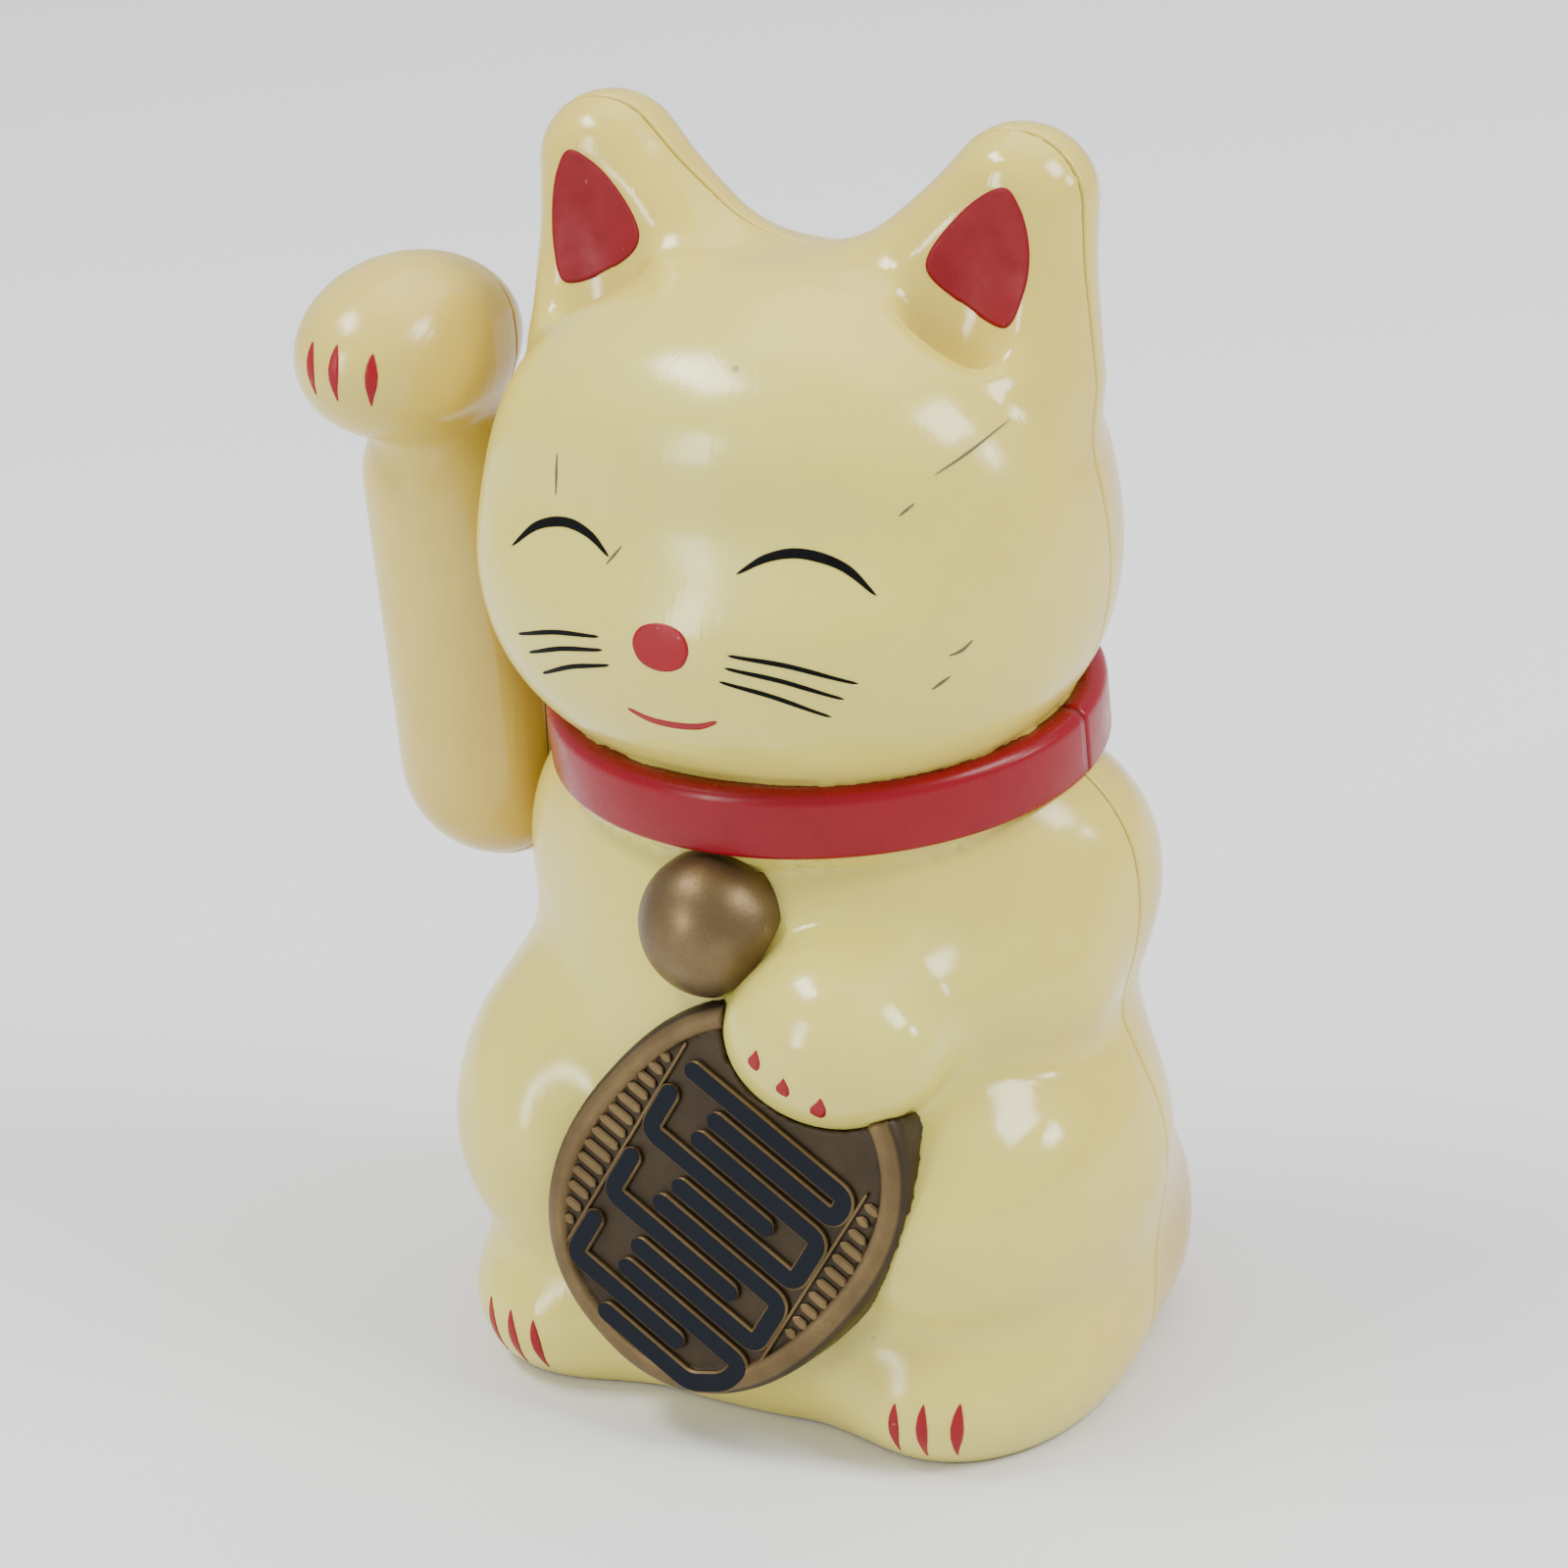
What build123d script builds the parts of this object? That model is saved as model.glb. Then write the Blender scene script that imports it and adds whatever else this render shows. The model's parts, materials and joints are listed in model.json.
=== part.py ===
"""Beckoning cat figurine with a swinging arm, driven by a coil and one AA cell.

Frame: millimetres, +Z up, origin at the centre of the base on the table plane.
The cat looks along -Y. Its own left is +X, and it raises its right paw, at -X.
The casing parts on the plane Y = 0 into a front and a rear shell.
"""
from math import cos, exp, pi, radians, sin, sqrt, tan
import os

from build123d import *

os.makedirs("parts", exist_ok=True)

# ---------------------------------------------------------------- casing
WALL = 2.2                  # casing wall
TILT = 6.5                  # collar rises towards the nape, degrees
COLLAR_Z = 73.0             # collar's lower edge at the throat
COLLAR_HEIGHT = 8.5
NECK_Y = 0.2                # centre of the neck oval
NECK_RX, NECK_RY = 32.0, 29.2
COLLAR_PROUD = 2.2          # collar stands this far outside the neck
COLLAR_LAP = 2.0            # its ring starts this far inside the neck, before the skin is cut away

# ---------------------------------------------------------------- arm and pivot
PIVOT_Y, PIVOT_Z = 6.0, 65.0
FLANK_X = -39.5             # flat on the casing that faces the arm
ARM_FACE_X = -40.3          # flat inner face of the arm
ARM_WALL = 1.8
ARM_SPLIT_Y = 1.0           # plane between the arm's two halves
SHAFT_R = 1.25
SHAFT_LEFT, SHAFT_RIGHT = -54.0, -5.5
RUNNING_GAP = 0.05          # radial clearance of the shaft in its bushes
SHELL_HOLE_R = 3.0

# ---------------------------------------------------------------- base and battery
PLATE_T = 2.4               # base plate
PLATE_GAP = 0.7
CELL_R, CELL_LEN = 7.1, 49.0        # AA cell without its nub
CELL_Y, CELL_Z = 8.0, 10.2
BAY_X, BAY_DY = 27.2, 7.8           # inner half length and half width of the battery bay
BAY_TOP = 18.4
BAY_WALL = 1.6
BAY_ROOF = 20.2
BASE_SCREWS = [(-15, -21.5), (15, -21.5), (-20, 21.5), (20, 21.5)]
BOSS_R, SCREW_R, HEAD_R = 2.8, 1.3, 2.5

# ---------------------------------------------------------------- electronics
BOARD_Z, BOARD_T = 20.6, 1.6
BOARD_POSTS = [(-28, -6), (4, -6)]
BOARD_TOP = BOARD_Z + BOARD_T
COIL_X, COIL_Y = -18.0, PIVOT_Y
COIL_H, COIL_R = 7.0, 8.0
SWITCH_X, SWITCH_Y = 18.0, -13.0
SWITCH_TRAVEL = 3.0

# ---------------------------------------------------------------- pendulum
BAR_X, BAR_T = -18.0, 2.2
MAGNET_Z, MAGNET_R, MAGNET_H = 30.2, 5.0, 4.0
WEIGHT_R, WEIGHT_T, WEIGHT_DROP = 9.0, 15.0, 18.0
WEIGHT_Y = PIVOT_Y + 2.6    # set back, so that the paw and the weight balance

# ---------------------------------------------------------------- ornaments
BELL_R, BELL_H, BELL_Z, BELL_Y = 8.7, 8.0, 64.0, -29.8
COIN_CENTRE = (3.7, -38.0, 32.5)
COIN_LONG, COIN_SHORT, COIN_POWER = 26.2, 20.6, 2.3
COIN_T, COIN_RIM, COIN_RECESS = 7.0, 2.2, 0.8   # the thickness is before the belly is cut out of it
COIN_LEAN, COIN_TURN = 7.5, -40.0   # leans back, and its long axis points to the cat's left


# ================================================================ skin formulas
def egg(p, centre, radii, power=2.0):
    """Distance to an ellipsoid, or to a squarer one when power is over 2."""
    q = [abs(a - c) / r for a, c, r in zip(p, centre, radii)]
    s = max(sum(t**power for t in q) ** (1 / power), 1e-6)
    slope = sqrt(sum((t ** (power - 1) / r) ** 2 for t, r in zip(q, radii)))
    return (s - 1) / max(slope * s ** (1 - power), 1e-6)


def limb(p, start, end, r_start, r_end):
    """Distance to a tapered limb with round ends."""
    along = [b - a for a, b in zip(start, end)]
    rel = [a - b for a, b in zip(p, start)]
    t = sum(a * b for a, b in zip(rel, along)) / sum(a * a for a in along)
    t = min(1.0, max(0.0, t))
    gap = sqrt(sum((a - t * b) ** 2 for a, b in zip(rel, along)))
    return gap - (r_start + (r_end - r_start) * t)


def blend(a, b, k):
    """Union of two distances with a fillet about k wide."""
    h = min(1.0, max(0.0, 0.5 + 0.5 * (b - a) / k))
    return b * (1 - h) + a * h - k * h * (1 - h)


def trim(a, b, k):
    """Common part of two distances with its edge rounded by k."""
    return -blend(-a, -b, k)


def head_skin(p):
    face = min(1.0, max(0.0, (-5 - p[1]) / 25)) * exp(-((p[0] / 32) ** 4))
    brow = exp(-(((p[2] - 112) / 8) ** 2))                        # set back above the muzzle
    q = (abs(p[0]), p[1] - face * (1.8 + 3.4 * brow), p[2])
    skull = egg(q, (0, -5, 109), (36.6, 33, 28.5), 2.2)
    cheeks = egg(q, (0, -6, 99), (36.2, 32.5, 24), 2.15)
    return blend(skull, cheeks, 8)


def ear_skin(p):
    """The left ear alone."""
    outer = limb(p, (25.5, 0, 126), (28.3, 2, 144.5), 11, 6.6)
    inner = limb(p, (10, 0, 128.5), (25.3, 2, 144.8), 9.2, 6.6)
    return blend(outer, inner, 7)


def body_skin(p):
    q = (abs(p[0]), p[1], p[2])
    d = egg(q, (0, 0, 54), (36.8, 31, 37))                        # chest
    d = blend(d, egg(q, (0, -1, 32), (34, 33, 34), 2.2), 10)      # belly
    haunch = ((25, -8.5, 30.5), (19.5, 28, 23)) if p[0] < 0 else ((25, -8.5, 29.5), (19.5, 28, 21))
    d = blend(d, egg(q, *haunch), 6)
    d = blend(d, egg(q, (25, -13, 8), (17, 23, 13)), 5)           # hind feet
    d = blend(d, egg(q, (0, 2, 13), (41, 35.5, 22), 2.4), 6)      # seat
    d = blend(d, egg(q, (25, 2, 62), (15.5, 18, 17)), 5)          # shoulders
    arm = blend(limb(p, (24, 0, 64), (26, -8, 55), 15.5, 13.2),   # left upper arm and forearm
                limb(p, (26, -8, 55), (15.5, -26, 53.5), 13.2, 11.5), 4)
    arm = blend(arm, egg(p, (16.5, -31.5, 53), (13.5, 9.5, 10)), 4)    # left paw
    d = blend(d, arm, 2.5)
    flank = max(sqrt((p[1] - PIVOT_Y) ** 2 + (p[2] - PIVOT_Z) ** 2) - 22, p[0] - FLANK_X)
    return trim(d, -flank, 2)


def arm_skin(p):
    d = limb(p, (-51, PIVOT_Y, PIVOT_Z), (-51.5, 0, 104), 13, 11)
    d = blend(d, egg(p, (-51.5, -7, 122), (12.5, 16.5, 11)), 6)
    return trim(d, p[0] - ARM_FACE_X, 3)


def outline(skin, level, z, centre, count=40):
    """Points where the skin is at the given level, round a centre, at height z."""
    points = []
    for step in range(count):
        a = 2 * pi * step / count
        near, far = 0.0, 2.0
        while skin((centre[0] + far * cos(a), centre[1] + far * sin(a), z)) < level:
            near, far = far, far + 2.0
        while far - near > 1e-4:
            r = (near + far) / 2
            if skin((centre[0] + r * cos(a), centre[1] + r * sin(a), z)) < level:
                near = r
            else:
                far = r
        points.append((centre[0] + near * cos(a), centre[1] + near * sin(a)))
    return points


def even_spline(points):
    """Closed spline with its knots evenly spaced, so that stacked outlines match in a loft."""
    knots = [i / len(points) for i in range(len(points) + 1)]
    return Edge.make_spline([Vector(x, y) for x, y in points], periodic=True, parameters=knots)


def skin_solid(skin, level, heights, centre_at):
    """Loft through the outlines at the given heights. Below the table it keeps the outline it has there."""
    with BuildPart() as solid:
        for z in heights:
            with BuildSketch(Plane.XY.offset(z)):
                with BuildLine():
                    add(even_spline(outline(skin, level, max(z, 0), centre_at(z))))
                make_face()
        loft()
    return solid.part


def dome_heights(low, high, count):
    """Heights that crowd together towards both ends, as on a globe."""
    middle, half = (low + high) / 2, (high - low) / 2
    return [middle - half * cos(pi * i / (count - 1)) for i in range(count)]


def finish(piece, name):
    """Label a finished piece and write its STEP file."""
    piece.part.label = name
    export_step(piece.part, f"parts/{name}.step")


# ================================================================ casing shells
def body_axis(z):
    return (0, 0)


def head_axis(z):
    return (0, -5)


def ear_axis(z):
    rise = min(1, (z - 118) / 25)
    return (21 + 7 * rise, 2 * rise)


COLLAR_PLANE = Plane(
    origin=(0, NECK_Y, COLLAR_Z + tan(radians(TILT)) * (NECK_RY + COLLAR_PROUD)),
    x_dir=(1, 0, 0),
    z_dir=(0, -sin(radians(TILT)), cos(radians(TILT))),
)


def neck_solid(rx, ry, low, high):
    with BuildPart() as neck:
        with BuildSketch(COLLAR_PLANE.offset(low)):
            Ellipse(rx, ry)
        extrude(amount=high - low)
    return neck.part


body_heights = [0, 3, 7] + [11.5 + 4.5 * i for i in range(16)]
body_outer = skin_solid(body_skin, 0, body_heights, body_axis)
body_inner = skin_solid(body_skin, -WALL, [-1, 3, 7] + body_heights[3:-1], body_axis)
head_outer = skin_solid(head_skin, 0, dome_heights(76.0, 137.35, 19), head_axis)
head_inner = skin_solid(head_skin, -WALL, dome_heights(78.0, 135.1, 19), head_axis)
ear_outer = skin_solid(ear_skin, 0, [119, 123, 127, 132, 137, 142, 145.5, 148.5, 150.7, 151.9, 152.35],
                       ear_axis)
ear_inner = skin_solid(ear_skin, -WALL, [121, 124, 127, 131, 135, 139, 143, 146, 148], ear_axis)
neck_outer = neck_solid(NECK_RX, NECK_RY, -3, COLLAR_HEIGHT - 0.3)
neck_inner = neck_solid(NECK_RX - WALL, NECK_RY - WALL, -5, COLLAR_HEIGHT - WALL - 0.3)

with BuildPart() as skin:
    add(body_outer)
    add(neck_outer)
    add(head_outer)
    add(ear_outer)
    add(mirror(ear_outer, about=Plane.YZ, mode=Mode.PRIVATE))
skin_part = skin.part

BOSS_FOOT = PLATE_T + 0.1
with BuildPart() as bosses:
    with BuildSketch(Plane.XY.offset(BOSS_FOOT)):
        with Locations(*BASE_SCREWS):
            Circle(BOSS_R)
        with Locations((-15, -31), (15, -31)):
            Rectangle(2, 16)
        with Locations((-20, 29), (20, 29)):
            Rectangle(2, 15)
    extrude(amount=11)
    with BuildSketch(Plane.XZ.offset(-14)):
        with Locations((-26, PIVOT_Z), (-12, PIVOT_Z)):
            Circle(BOSS_R)
    extrude(amount=-24)
    add(body_outer, mode=Mode.INTERSECT)

with BuildPart() as casing:
    add(skin_part)
    for hollow in (body_inner, neck_inner, head_inner, ear_inner):
        add(hollow, mode=Mode.SUBTRACT)
    add(mirror(ear_inner, about=Plane.YZ, mode=Mode.PRIVATE), mode=Mode.SUBTRACT)
    add(bosses.part)
    with BuildSketch(Plane.XY.offset(BOSS_FOOT)):
        with Locations(*BASE_SCREWS):
            Circle(SCREW_R)
    extrude(amount=9, mode=Mode.SUBTRACT)
    with BuildSketch(Plane.XZ.offset(-14)):
        with Locations((-26, PIVOT_Z), (-12, PIVOT_Z)):
            Circle(1.0)
    extrude(amount=-4, mode=Mode.SUBTRACT)
    with BuildSketch(Plane.YZ.offset(FLANK_X - 3)):
        with Locations((PIVOT_Y, PIVOT_Z)):
            Circle(SHELL_HOLE_R)
    extrude(amount=8, mode=Mode.SUBTRACT)

# ================================================================ ornaments
PEG_START_Y = -33.0         # inside the bell's dome
PEG_PLANE = Plane.XZ.offset(-PEG_START_Y)
PEG_LENGTH = 8.0
with BuildPart() as bell:
    with BuildSketch(Plane(origin=(0, BELL_Y, BELL_Z), x_dir=(0, 0, 1), z_dir=(1, 0, 0))):
        Ellipse(BELL_R, BELL_H)
        with Locations((0, -2)):
            Rectangle(2 * BELL_R, 4)
        with Locations((BELL_R, 2)):
            Rectangle(2 * BELL_R, 12, mode=Mode.INTERSECT)
    revolve(axis=Axis((0, BELL_Y, BELL_Z), (0, 1, 0)))
    add(skin_part, mode=Mode.SUBTRACT)
    with BuildSketch(PEG_PLANE):
        with Locations((0, BELL_Z)):
            Circle(2)
    extrude(amount=-PEG_LENGTH)

lean, turn = radians(COIN_LEAN), radians(COIN_TURN)
COIN_PLANE = Plane(
    origin=COIN_CENTRE,
    x_dir=(cos(turn), sin(turn) * sin(lean), sin(turn) * cos(lean)),
    z_dir=(0, -cos(lean), sin(lean)),
)


def coin_outline(inset=0.0):
    """Squarish oval, long axis along local Y."""
    points = []
    for step in range(36):
        a = 2 * pi * step / 36
        c, s = cos(a), sin(a)
        x = (COIN_SHORT - inset) * abs(c) ** (2 / COIN_POWER) * (1 if c >= 0 else -1)
        y = (COIN_LONG - inset) * abs(s) ** (2 / COIN_POWER) * (1 if s >= 0 else -1)
        points.append((x, y))
    return points


def coin_half_width(y, inset):
    return (COIN_SHORT - inset) * (1 - abs(y / (COIN_LONG - inset)) ** COIN_POWER) ** (1 / COIN_POWER)


COIN_PINS = [(-6, -8), (-6, 8)]
COLUMN_HALF = 10.0          # half width of the raised middle column
with BuildPart() as koban:
    with BuildSketch(COIN_PLANE.offset(-COIN_T)):
        with BuildLine():
            Spline(*coin_outline(), periodic=True)
        make_face()
    extrude(amount=COIN_T)
    with BuildSketch(COIN_PLANE.offset(-COIN_RECESS)):
        with BuildLine():
            Spline(*coin_outline(COIN_RIM), periodic=True)
        make_face()
    extrude(amount=COIN_RECESS + 1, mode=Mode.SUBTRACT)
    with BuildSketch(COIN_PLANE.offset(-COIN_RECESS)):
        for i in range(-7, 8):
            y = 2.5 * i
            reach = coin_half_width(y, COIN_RIM) - 0.6
            length = reach - COLUMN_HALF - 1
            if length > 1.5:
                with Locations((COLUMN_HALF + 1 + length / 2, y), (-COLUMN_HALF - 1 - length / 2, y)):
                    SlotOverall(length, 1.0)
        for i in range(-3, 4):
            with Locations((0, 5.6 * i)):
                SlotOverall(2 * COLUMN_HALF - 1 - abs(i), 3.4)
    extrude(amount=0.7)
    add(skin_part, mode=Mode.SUBTRACT)
    with BuildSketch(COIN_PLANE.offset(-2)):
        with Locations(*COIN_PINS):
            Circle(1.5)
    extrude(amount=-PEG_LENGTH)

with BuildPart() as peg_holes:
    with BuildSketch(PEG_PLANE):
        with Locations((0, BELL_Z)):
            Circle(2)
    extrude(amount=-PEG_LENGTH)
    with BuildSketch(COIN_PLANE.offset(-2)):
        with Locations(*COIN_PINS):
            Circle(1.5)
    extrude(amount=-PEG_LENGTH)

with BuildPart() as front_shell:
    add(casing.part)
    split(bisect_by=Plane.XZ, keep=Keep.TOP)
    add(peg_holes.part, mode=Mode.SUBTRACT)

with BuildPart() as rear_shell:
    add(casing.part)
    split(bisect_by=Plane.XZ, keep=Keep.BOTTOM)

with BuildPart() as collar:
    with BuildSketch(COLLAR_PLANE):
        Ellipse(NECK_RX + COLLAR_PROUD, NECK_RY + COLLAR_PROUD)
        Ellipse(NECK_RX - COLLAR_LAP, NECK_RY - COLLAR_LAP, mode=Mode.SUBTRACT)
    extrude(amount=COLLAR_HEIGHT)
    fillet(collar.edges().group_by(Axis(COLLAR_PLANE.origin, COLLAR_PLANE.z_dir))[-1].sort_by(
        SortBy.LENGTH)[-1:], 1.2)
    for covered in (body_outer, neck_outer, head_outer):
        add(covered, mode=Mode.SUBTRACT)

with BuildPart() as collar_front:
    add(collar.part)
    split(bisect_by=Plane.XZ, keep=Keep.TOP)

with BuildPart() as collar_rear:
    add(collar.part)
    split(bisect_by=Plane.XZ, keep=Keep.BOTTOM)

# ================================================================ base plate and battery bay
with BuildPart() as base_plate:
    with BuildSketch():
        with BuildLine():
            Spline(*outline(body_skin, -WALL - PLATE_GAP, 0, (0, 0)), periodic=True)
        make_face()
    extrude(amount=PLATE_T)
    with BuildSketch(Plane.XY.offset(PLATE_T)):
        with Locations((0, CELL_Y)):
            Rectangle(2 * (BAY_X + BAY_WALL), 2 * (BAY_DY + BAY_WALL))
    extrude(amount=BAY_ROOF - PLATE_T)
    with BuildSketch():
        with Locations((0, CELL_Y)):
            Rectangle(2 * BAY_X, 2 * BAY_DY)
    extrude(amount=BAY_TOP, mode=Mode.SUBTRACT)
    with BuildSketch():                                  # ledge that the door rests in
        with Locations((0, CELL_Y)):
            RectangleRounded(2 * BAY_X + 2.4, 2 * BAY_DY + 2.4, 1)
    extrude(amount=0.3 + 1.9, mode=Mode.SUBTRACT)
    with BuildSketch(Plane.XY.offset(PLATE_T)):          # posts under the circuit board
        with Locations(*BOARD_POSTS):
            Circle(2.5)
    extrude(amount=BOARD_Z - PLATE_T)
    with BuildSketch(Plane.XY.offset(BAY_ROOF)):         # pads under the board's rear edge
        with Locations((-24, 13), (2, 13)):
            Rectangle(5, 3)
    extrude(amount=BOARD_Z - BAY_ROOF)
    with BuildSketch(Plane.XY.offset(BOARD_Z)):
        with Locations(*BOARD_POSTS):
            Circle(0.9)
    extrude(amount=-5, mode=Mode.SUBTRACT)
    with BuildSketch(Plane.XY.offset(BAY_TOP)):          # slots for the contact tabs
        with Locations((-26.8, CELL_Y), (26.8, CELL_Y)):
            Rectangle(0.8, 4.4)
    extrude(amount=3, mode=Mode.SUBTRACT)
    with BuildSketch():                                  # screw heads and screw holes
        with Locations(*BASE_SCREWS):
            Circle(HEAD_R + 0.2)
    extrude(amount=1.2, mode=Mode.SUBTRACT)
    with BuildSketch():
        with Locations(*BASE_SCREWS):
            Circle(SCREW_R + 0.2)
    extrude(amount=PLATE_T, mode=Mode.SUBTRACT)
    with BuildSketch():                                  # slot for the switch knob
        with Locations((SWITCH_X, SWITCH_Y)):
            Rectangle(3 + SWITCH_TRAVEL + 0.6, 3.2)
    extrude(amount=PLATE_T, mode=Mode.SUBTRACT)

with BuildPart() as battery_door:
    with BuildSketch(Plane.XY.offset(0.3)):
        with Locations((0, CELL_Y)):
            RectangleRounded(2 * BAY_X + 1.8, 2 * BAY_DY + 1.8, 0.8)
    extrude(amount=1.8)
    with BuildSketch(Plane.XY.offset(0.3)):              # finger grooves
        with Locations(*[(20 + 1.6 * i, CELL_Y) for i in range(4)]):
            Rectangle(0.7, 9)
    extrude(amount=0.5, mode=Mode.SUBTRACT)

with BuildPart() as base_screws:
    with BuildSketch(Plane.XY.offset(0.3)):
        with Locations(*BASE_SCREWS):
            Circle(HEAD_R)
    extrude(amount=0.9)
    with BuildSketch(Plane.XY.offset(1.2)):
        with Locations(*BASE_SCREWS):
            Circle(SCREW_R)
    extrude(amount=8)
    with BuildSketch(Plane.XY.offset(0.3)):              # cross recess
        with Locations(*BASE_SCREWS):
            Rectangle(2.6, 0.6)
            Rectangle(0.6, 2.6)
    extrude(amount=0.6, mode=Mode.SUBTRACT)

with BuildPart() as battery:
    with BuildSketch(Plane.YZ.offset(-CELL_LEN / 2 + 0.5)):
        with Locations((CELL_Y, CELL_Z)):
            Circle(CELL_R)
    extrude(amount=CELL_LEN)
    fillet(battery.edges().filter_by(GeomType.CIRCLE), 0.6)
    with BuildSketch(Plane.YZ.offset(CELL_LEN / 2 + 0.5)):
        with Locations((CELL_Y, CELL_Z)):
            Circle(2.6)
    extrude(amount=1.3)

with BuildPart() as positive_contact:
    with BuildSketch(Plane.YZ.offset(26.6)):
        with Locations((CELL_Y, CELL_Z)):
            Rectangle(11, 12)
        with Locations((CELL_Y, CELL_Z + 9)):
            Rectangle(4, 6.4)
    extrude(amount=0.4)
    with BuildSketch(Plane.YZ.offset(26.6)):
        with Locations((CELL_Y, CELL_Z)):
            Circle(2)
    extrude(amount=-0.3)

with BuildPart() as negative_contact:
    with BuildSketch(Plane.YZ.offset(-27.0)):
        with Locations((CELL_Y, CELL_Z)):
            Rectangle(11, 12)
        with Locations((CELL_Y, CELL_Z + 8.7)):
            Rectangle(4, 6.2)
    extrude(amount=0.4)

SPRING_R, SPRING_WIRE = 3.4, 0.35
with BuildPart() as battery_spring:
    with BuildLine() as turns:
        Helix(pitch=0.9, height=1.6, radius=SPRING_R, direction=(1, 0, 0),
              center=(-26.6 + SPRING_WIRE + 0.02, CELL_Y, CELL_Z))
    with BuildSketch(Plane(origin=turns.line @ 0, z_dir=turns.line % 0)):
        Circle(SPRING_WIRE)
    sweep()

# ================================================================ switch and electronics
with BuildPart() as switch_body:
    with BuildSketch(Plane.XY.offset(PLATE_T)):
        with Locations((SWITCH_X, SWITCH_Y)):
            Rectangle(12, 6)
            Rectangle(2.2 + SWITCH_TRAVEL + 0.6, 2.2, mode=Mode.SUBTRACT)
    extrude(amount=4)
    with BuildSketch(Plane.XY.offset(PLATE_T + 3)):
        with Locations((SWITCH_X, SWITCH_Y)):
            Rectangle(12, 6)
    extrude(amount=1)

with BuildPart() as switch_slider:
    with BuildSketch(Plane.XY.offset(0.4)):
        with Locations((SWITCH_X - SWITCH_TRAVEL / 2, SWITCH_Y)):
            Rectangle(2.8, 2.6)
    extrude(amount=PLATE_T - 0.6)
    with BuildSketch(Plane.XY.offset(PLATE_T - 0.2)):
        with Locations((SWITCH_X - SWITCH_TRAVEL / 2, SWITCH_Y)):
            Rectangle(2, 1.6)
    extrude(amount=3)

with BuildPart() as circuit_board:
    with BuildSketch(Plane.XY.offset(BOARD_Z)):
        with Locations((-12, 3.5)):
            RectangleRounded(42, 25, 1)
        with Locations(*BOARD_POSTS):
            Circle(1.1, mode=Mode.SUBTRACT)
        with Locations((-26.8, CELL_Y)):
            Rectangle(0.8, 4.4, mode=Mode.SUBTRACT)
        with Locations((COIL_X, COIL_Y)):
            Circle(1.6, mode=Mode.SUBTRACT)
    extrude(amount=BOARD_T)

with BuildPart() as board_screws:
    with BuildSketch(Plane.XY.offset(BOARD_TOP)):
        with Locations(*BOARD_POSTS):
            Circle(1.9)
    extrude(amount=1.2)
    with BuildSketch(Plane.XY.offset(BOARD_TOP)):
        with Locations(*BOARD_POSTS):
            Circle(0.9)
    extrude(amount=-5)

with BuildPart() as coil_bobbin:
    for foot, radius, thick in [(0, COIL_R, 1), (1, 3.5, COIL_H - 2), (COIL_H - 1, COIL_R, 1)]:
        with BuildSketch(Plane.XY.offset(BOARD_TOP + foot)):
            with Locations((COIL_X, COIL_Y)):
                Circle(radius)
                Circle(1.5, mode=Mode.SUBTRACT)
        extrude(amount=thick)

with BuildPart() as coil_winding:
    with BuildSketch(Plane.XY.offset(BOARD_TOP + 1)):
        with Locations((COIL_X, COIL_Y)):
            Circle(COIL_R - 0.5)
            Circle(3.5, mode=Mode.SUBTRACT)
    extrude(amount=COIL_H - 2)

with BuildPart() as coil_core:
    with BuildSketch(Plane.XY.offset(BOARD_Z)):
        with Locations((COIL_X, COIL_Y)):
            Circle(1.5)
    extrude(amount=BOARD_T + COIL_H)

with BuildPart() as transistor:
    with BuildSketch(Plane.XY.offset(BOARD_TOP + 2)):
        with Locations((-7, 0)):
            Circle(2.4)
        with Locations((-7, -2.4)):
            Rectangle(6, 2, mode=Mode.SUBTRACT)
    extrude(amount=4.6)
    with BuildSketch(Plane.XY.offset(BOARD_TOP)):
        with Locations((-8.3, 0), (-7, 0), (-5.7, 0)):
            Rectangle(0.45, 0.45)
    extrude(amount=2)

with BuildPart() as capacitor:
    with BuildSketch(Plane.XY.offset(BOARD_TOP)):
        with Locations((-4, 9)):
            Circle(2.5)
    extrude(amount=8)
    fillet(capacitor.edges().group_by(Axis.Z)[-1], 0.4)


def wire(points, radius):
    """Hook-up wire along straight runs joined by tangent arcs."""
    stops = [Vector(*p) for p in points]
    bends = []
    for a, b, c in zip(stops, stops[1:], stops[2:]):
        turn = radians((b - a).get_angle(c - b))
        bends.append(0.45 * min((b - a).length, (c - b).length) / tan(turn / 2))
    print("wire bends", [round(r, 1) for r in bends])
    with BuildPart() as tube:
        with BuildLine() as route:
            FilletPolyline(*points, radius=bends)
        with BuildSketch(Plane(origin=route.line @ 0, z_dir=route.line % 0)):
            Circle(radius)
        sweep()
    return tube


WIRE_R = 0.5
battery_lead = wire([(26.8, CELL_Y, 22.4), (26.8, CELL_Y, 29), (25.5, -1, 32), (23, -10, 27),
                     (21, SWITCH_Y, 18), (21, SWITCH_Y, 6.4)], WIRE_R)
switch_lead = wire([(15, SWITCH_Y, 6.4), (15, SWITCH_Y, 17), (12, -9.5, 25.5), (6.5, -3.5, 30),
                    (1.5, -0.5, 29), (1, 0, BOARD_TOP)], WIRE_R)

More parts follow.
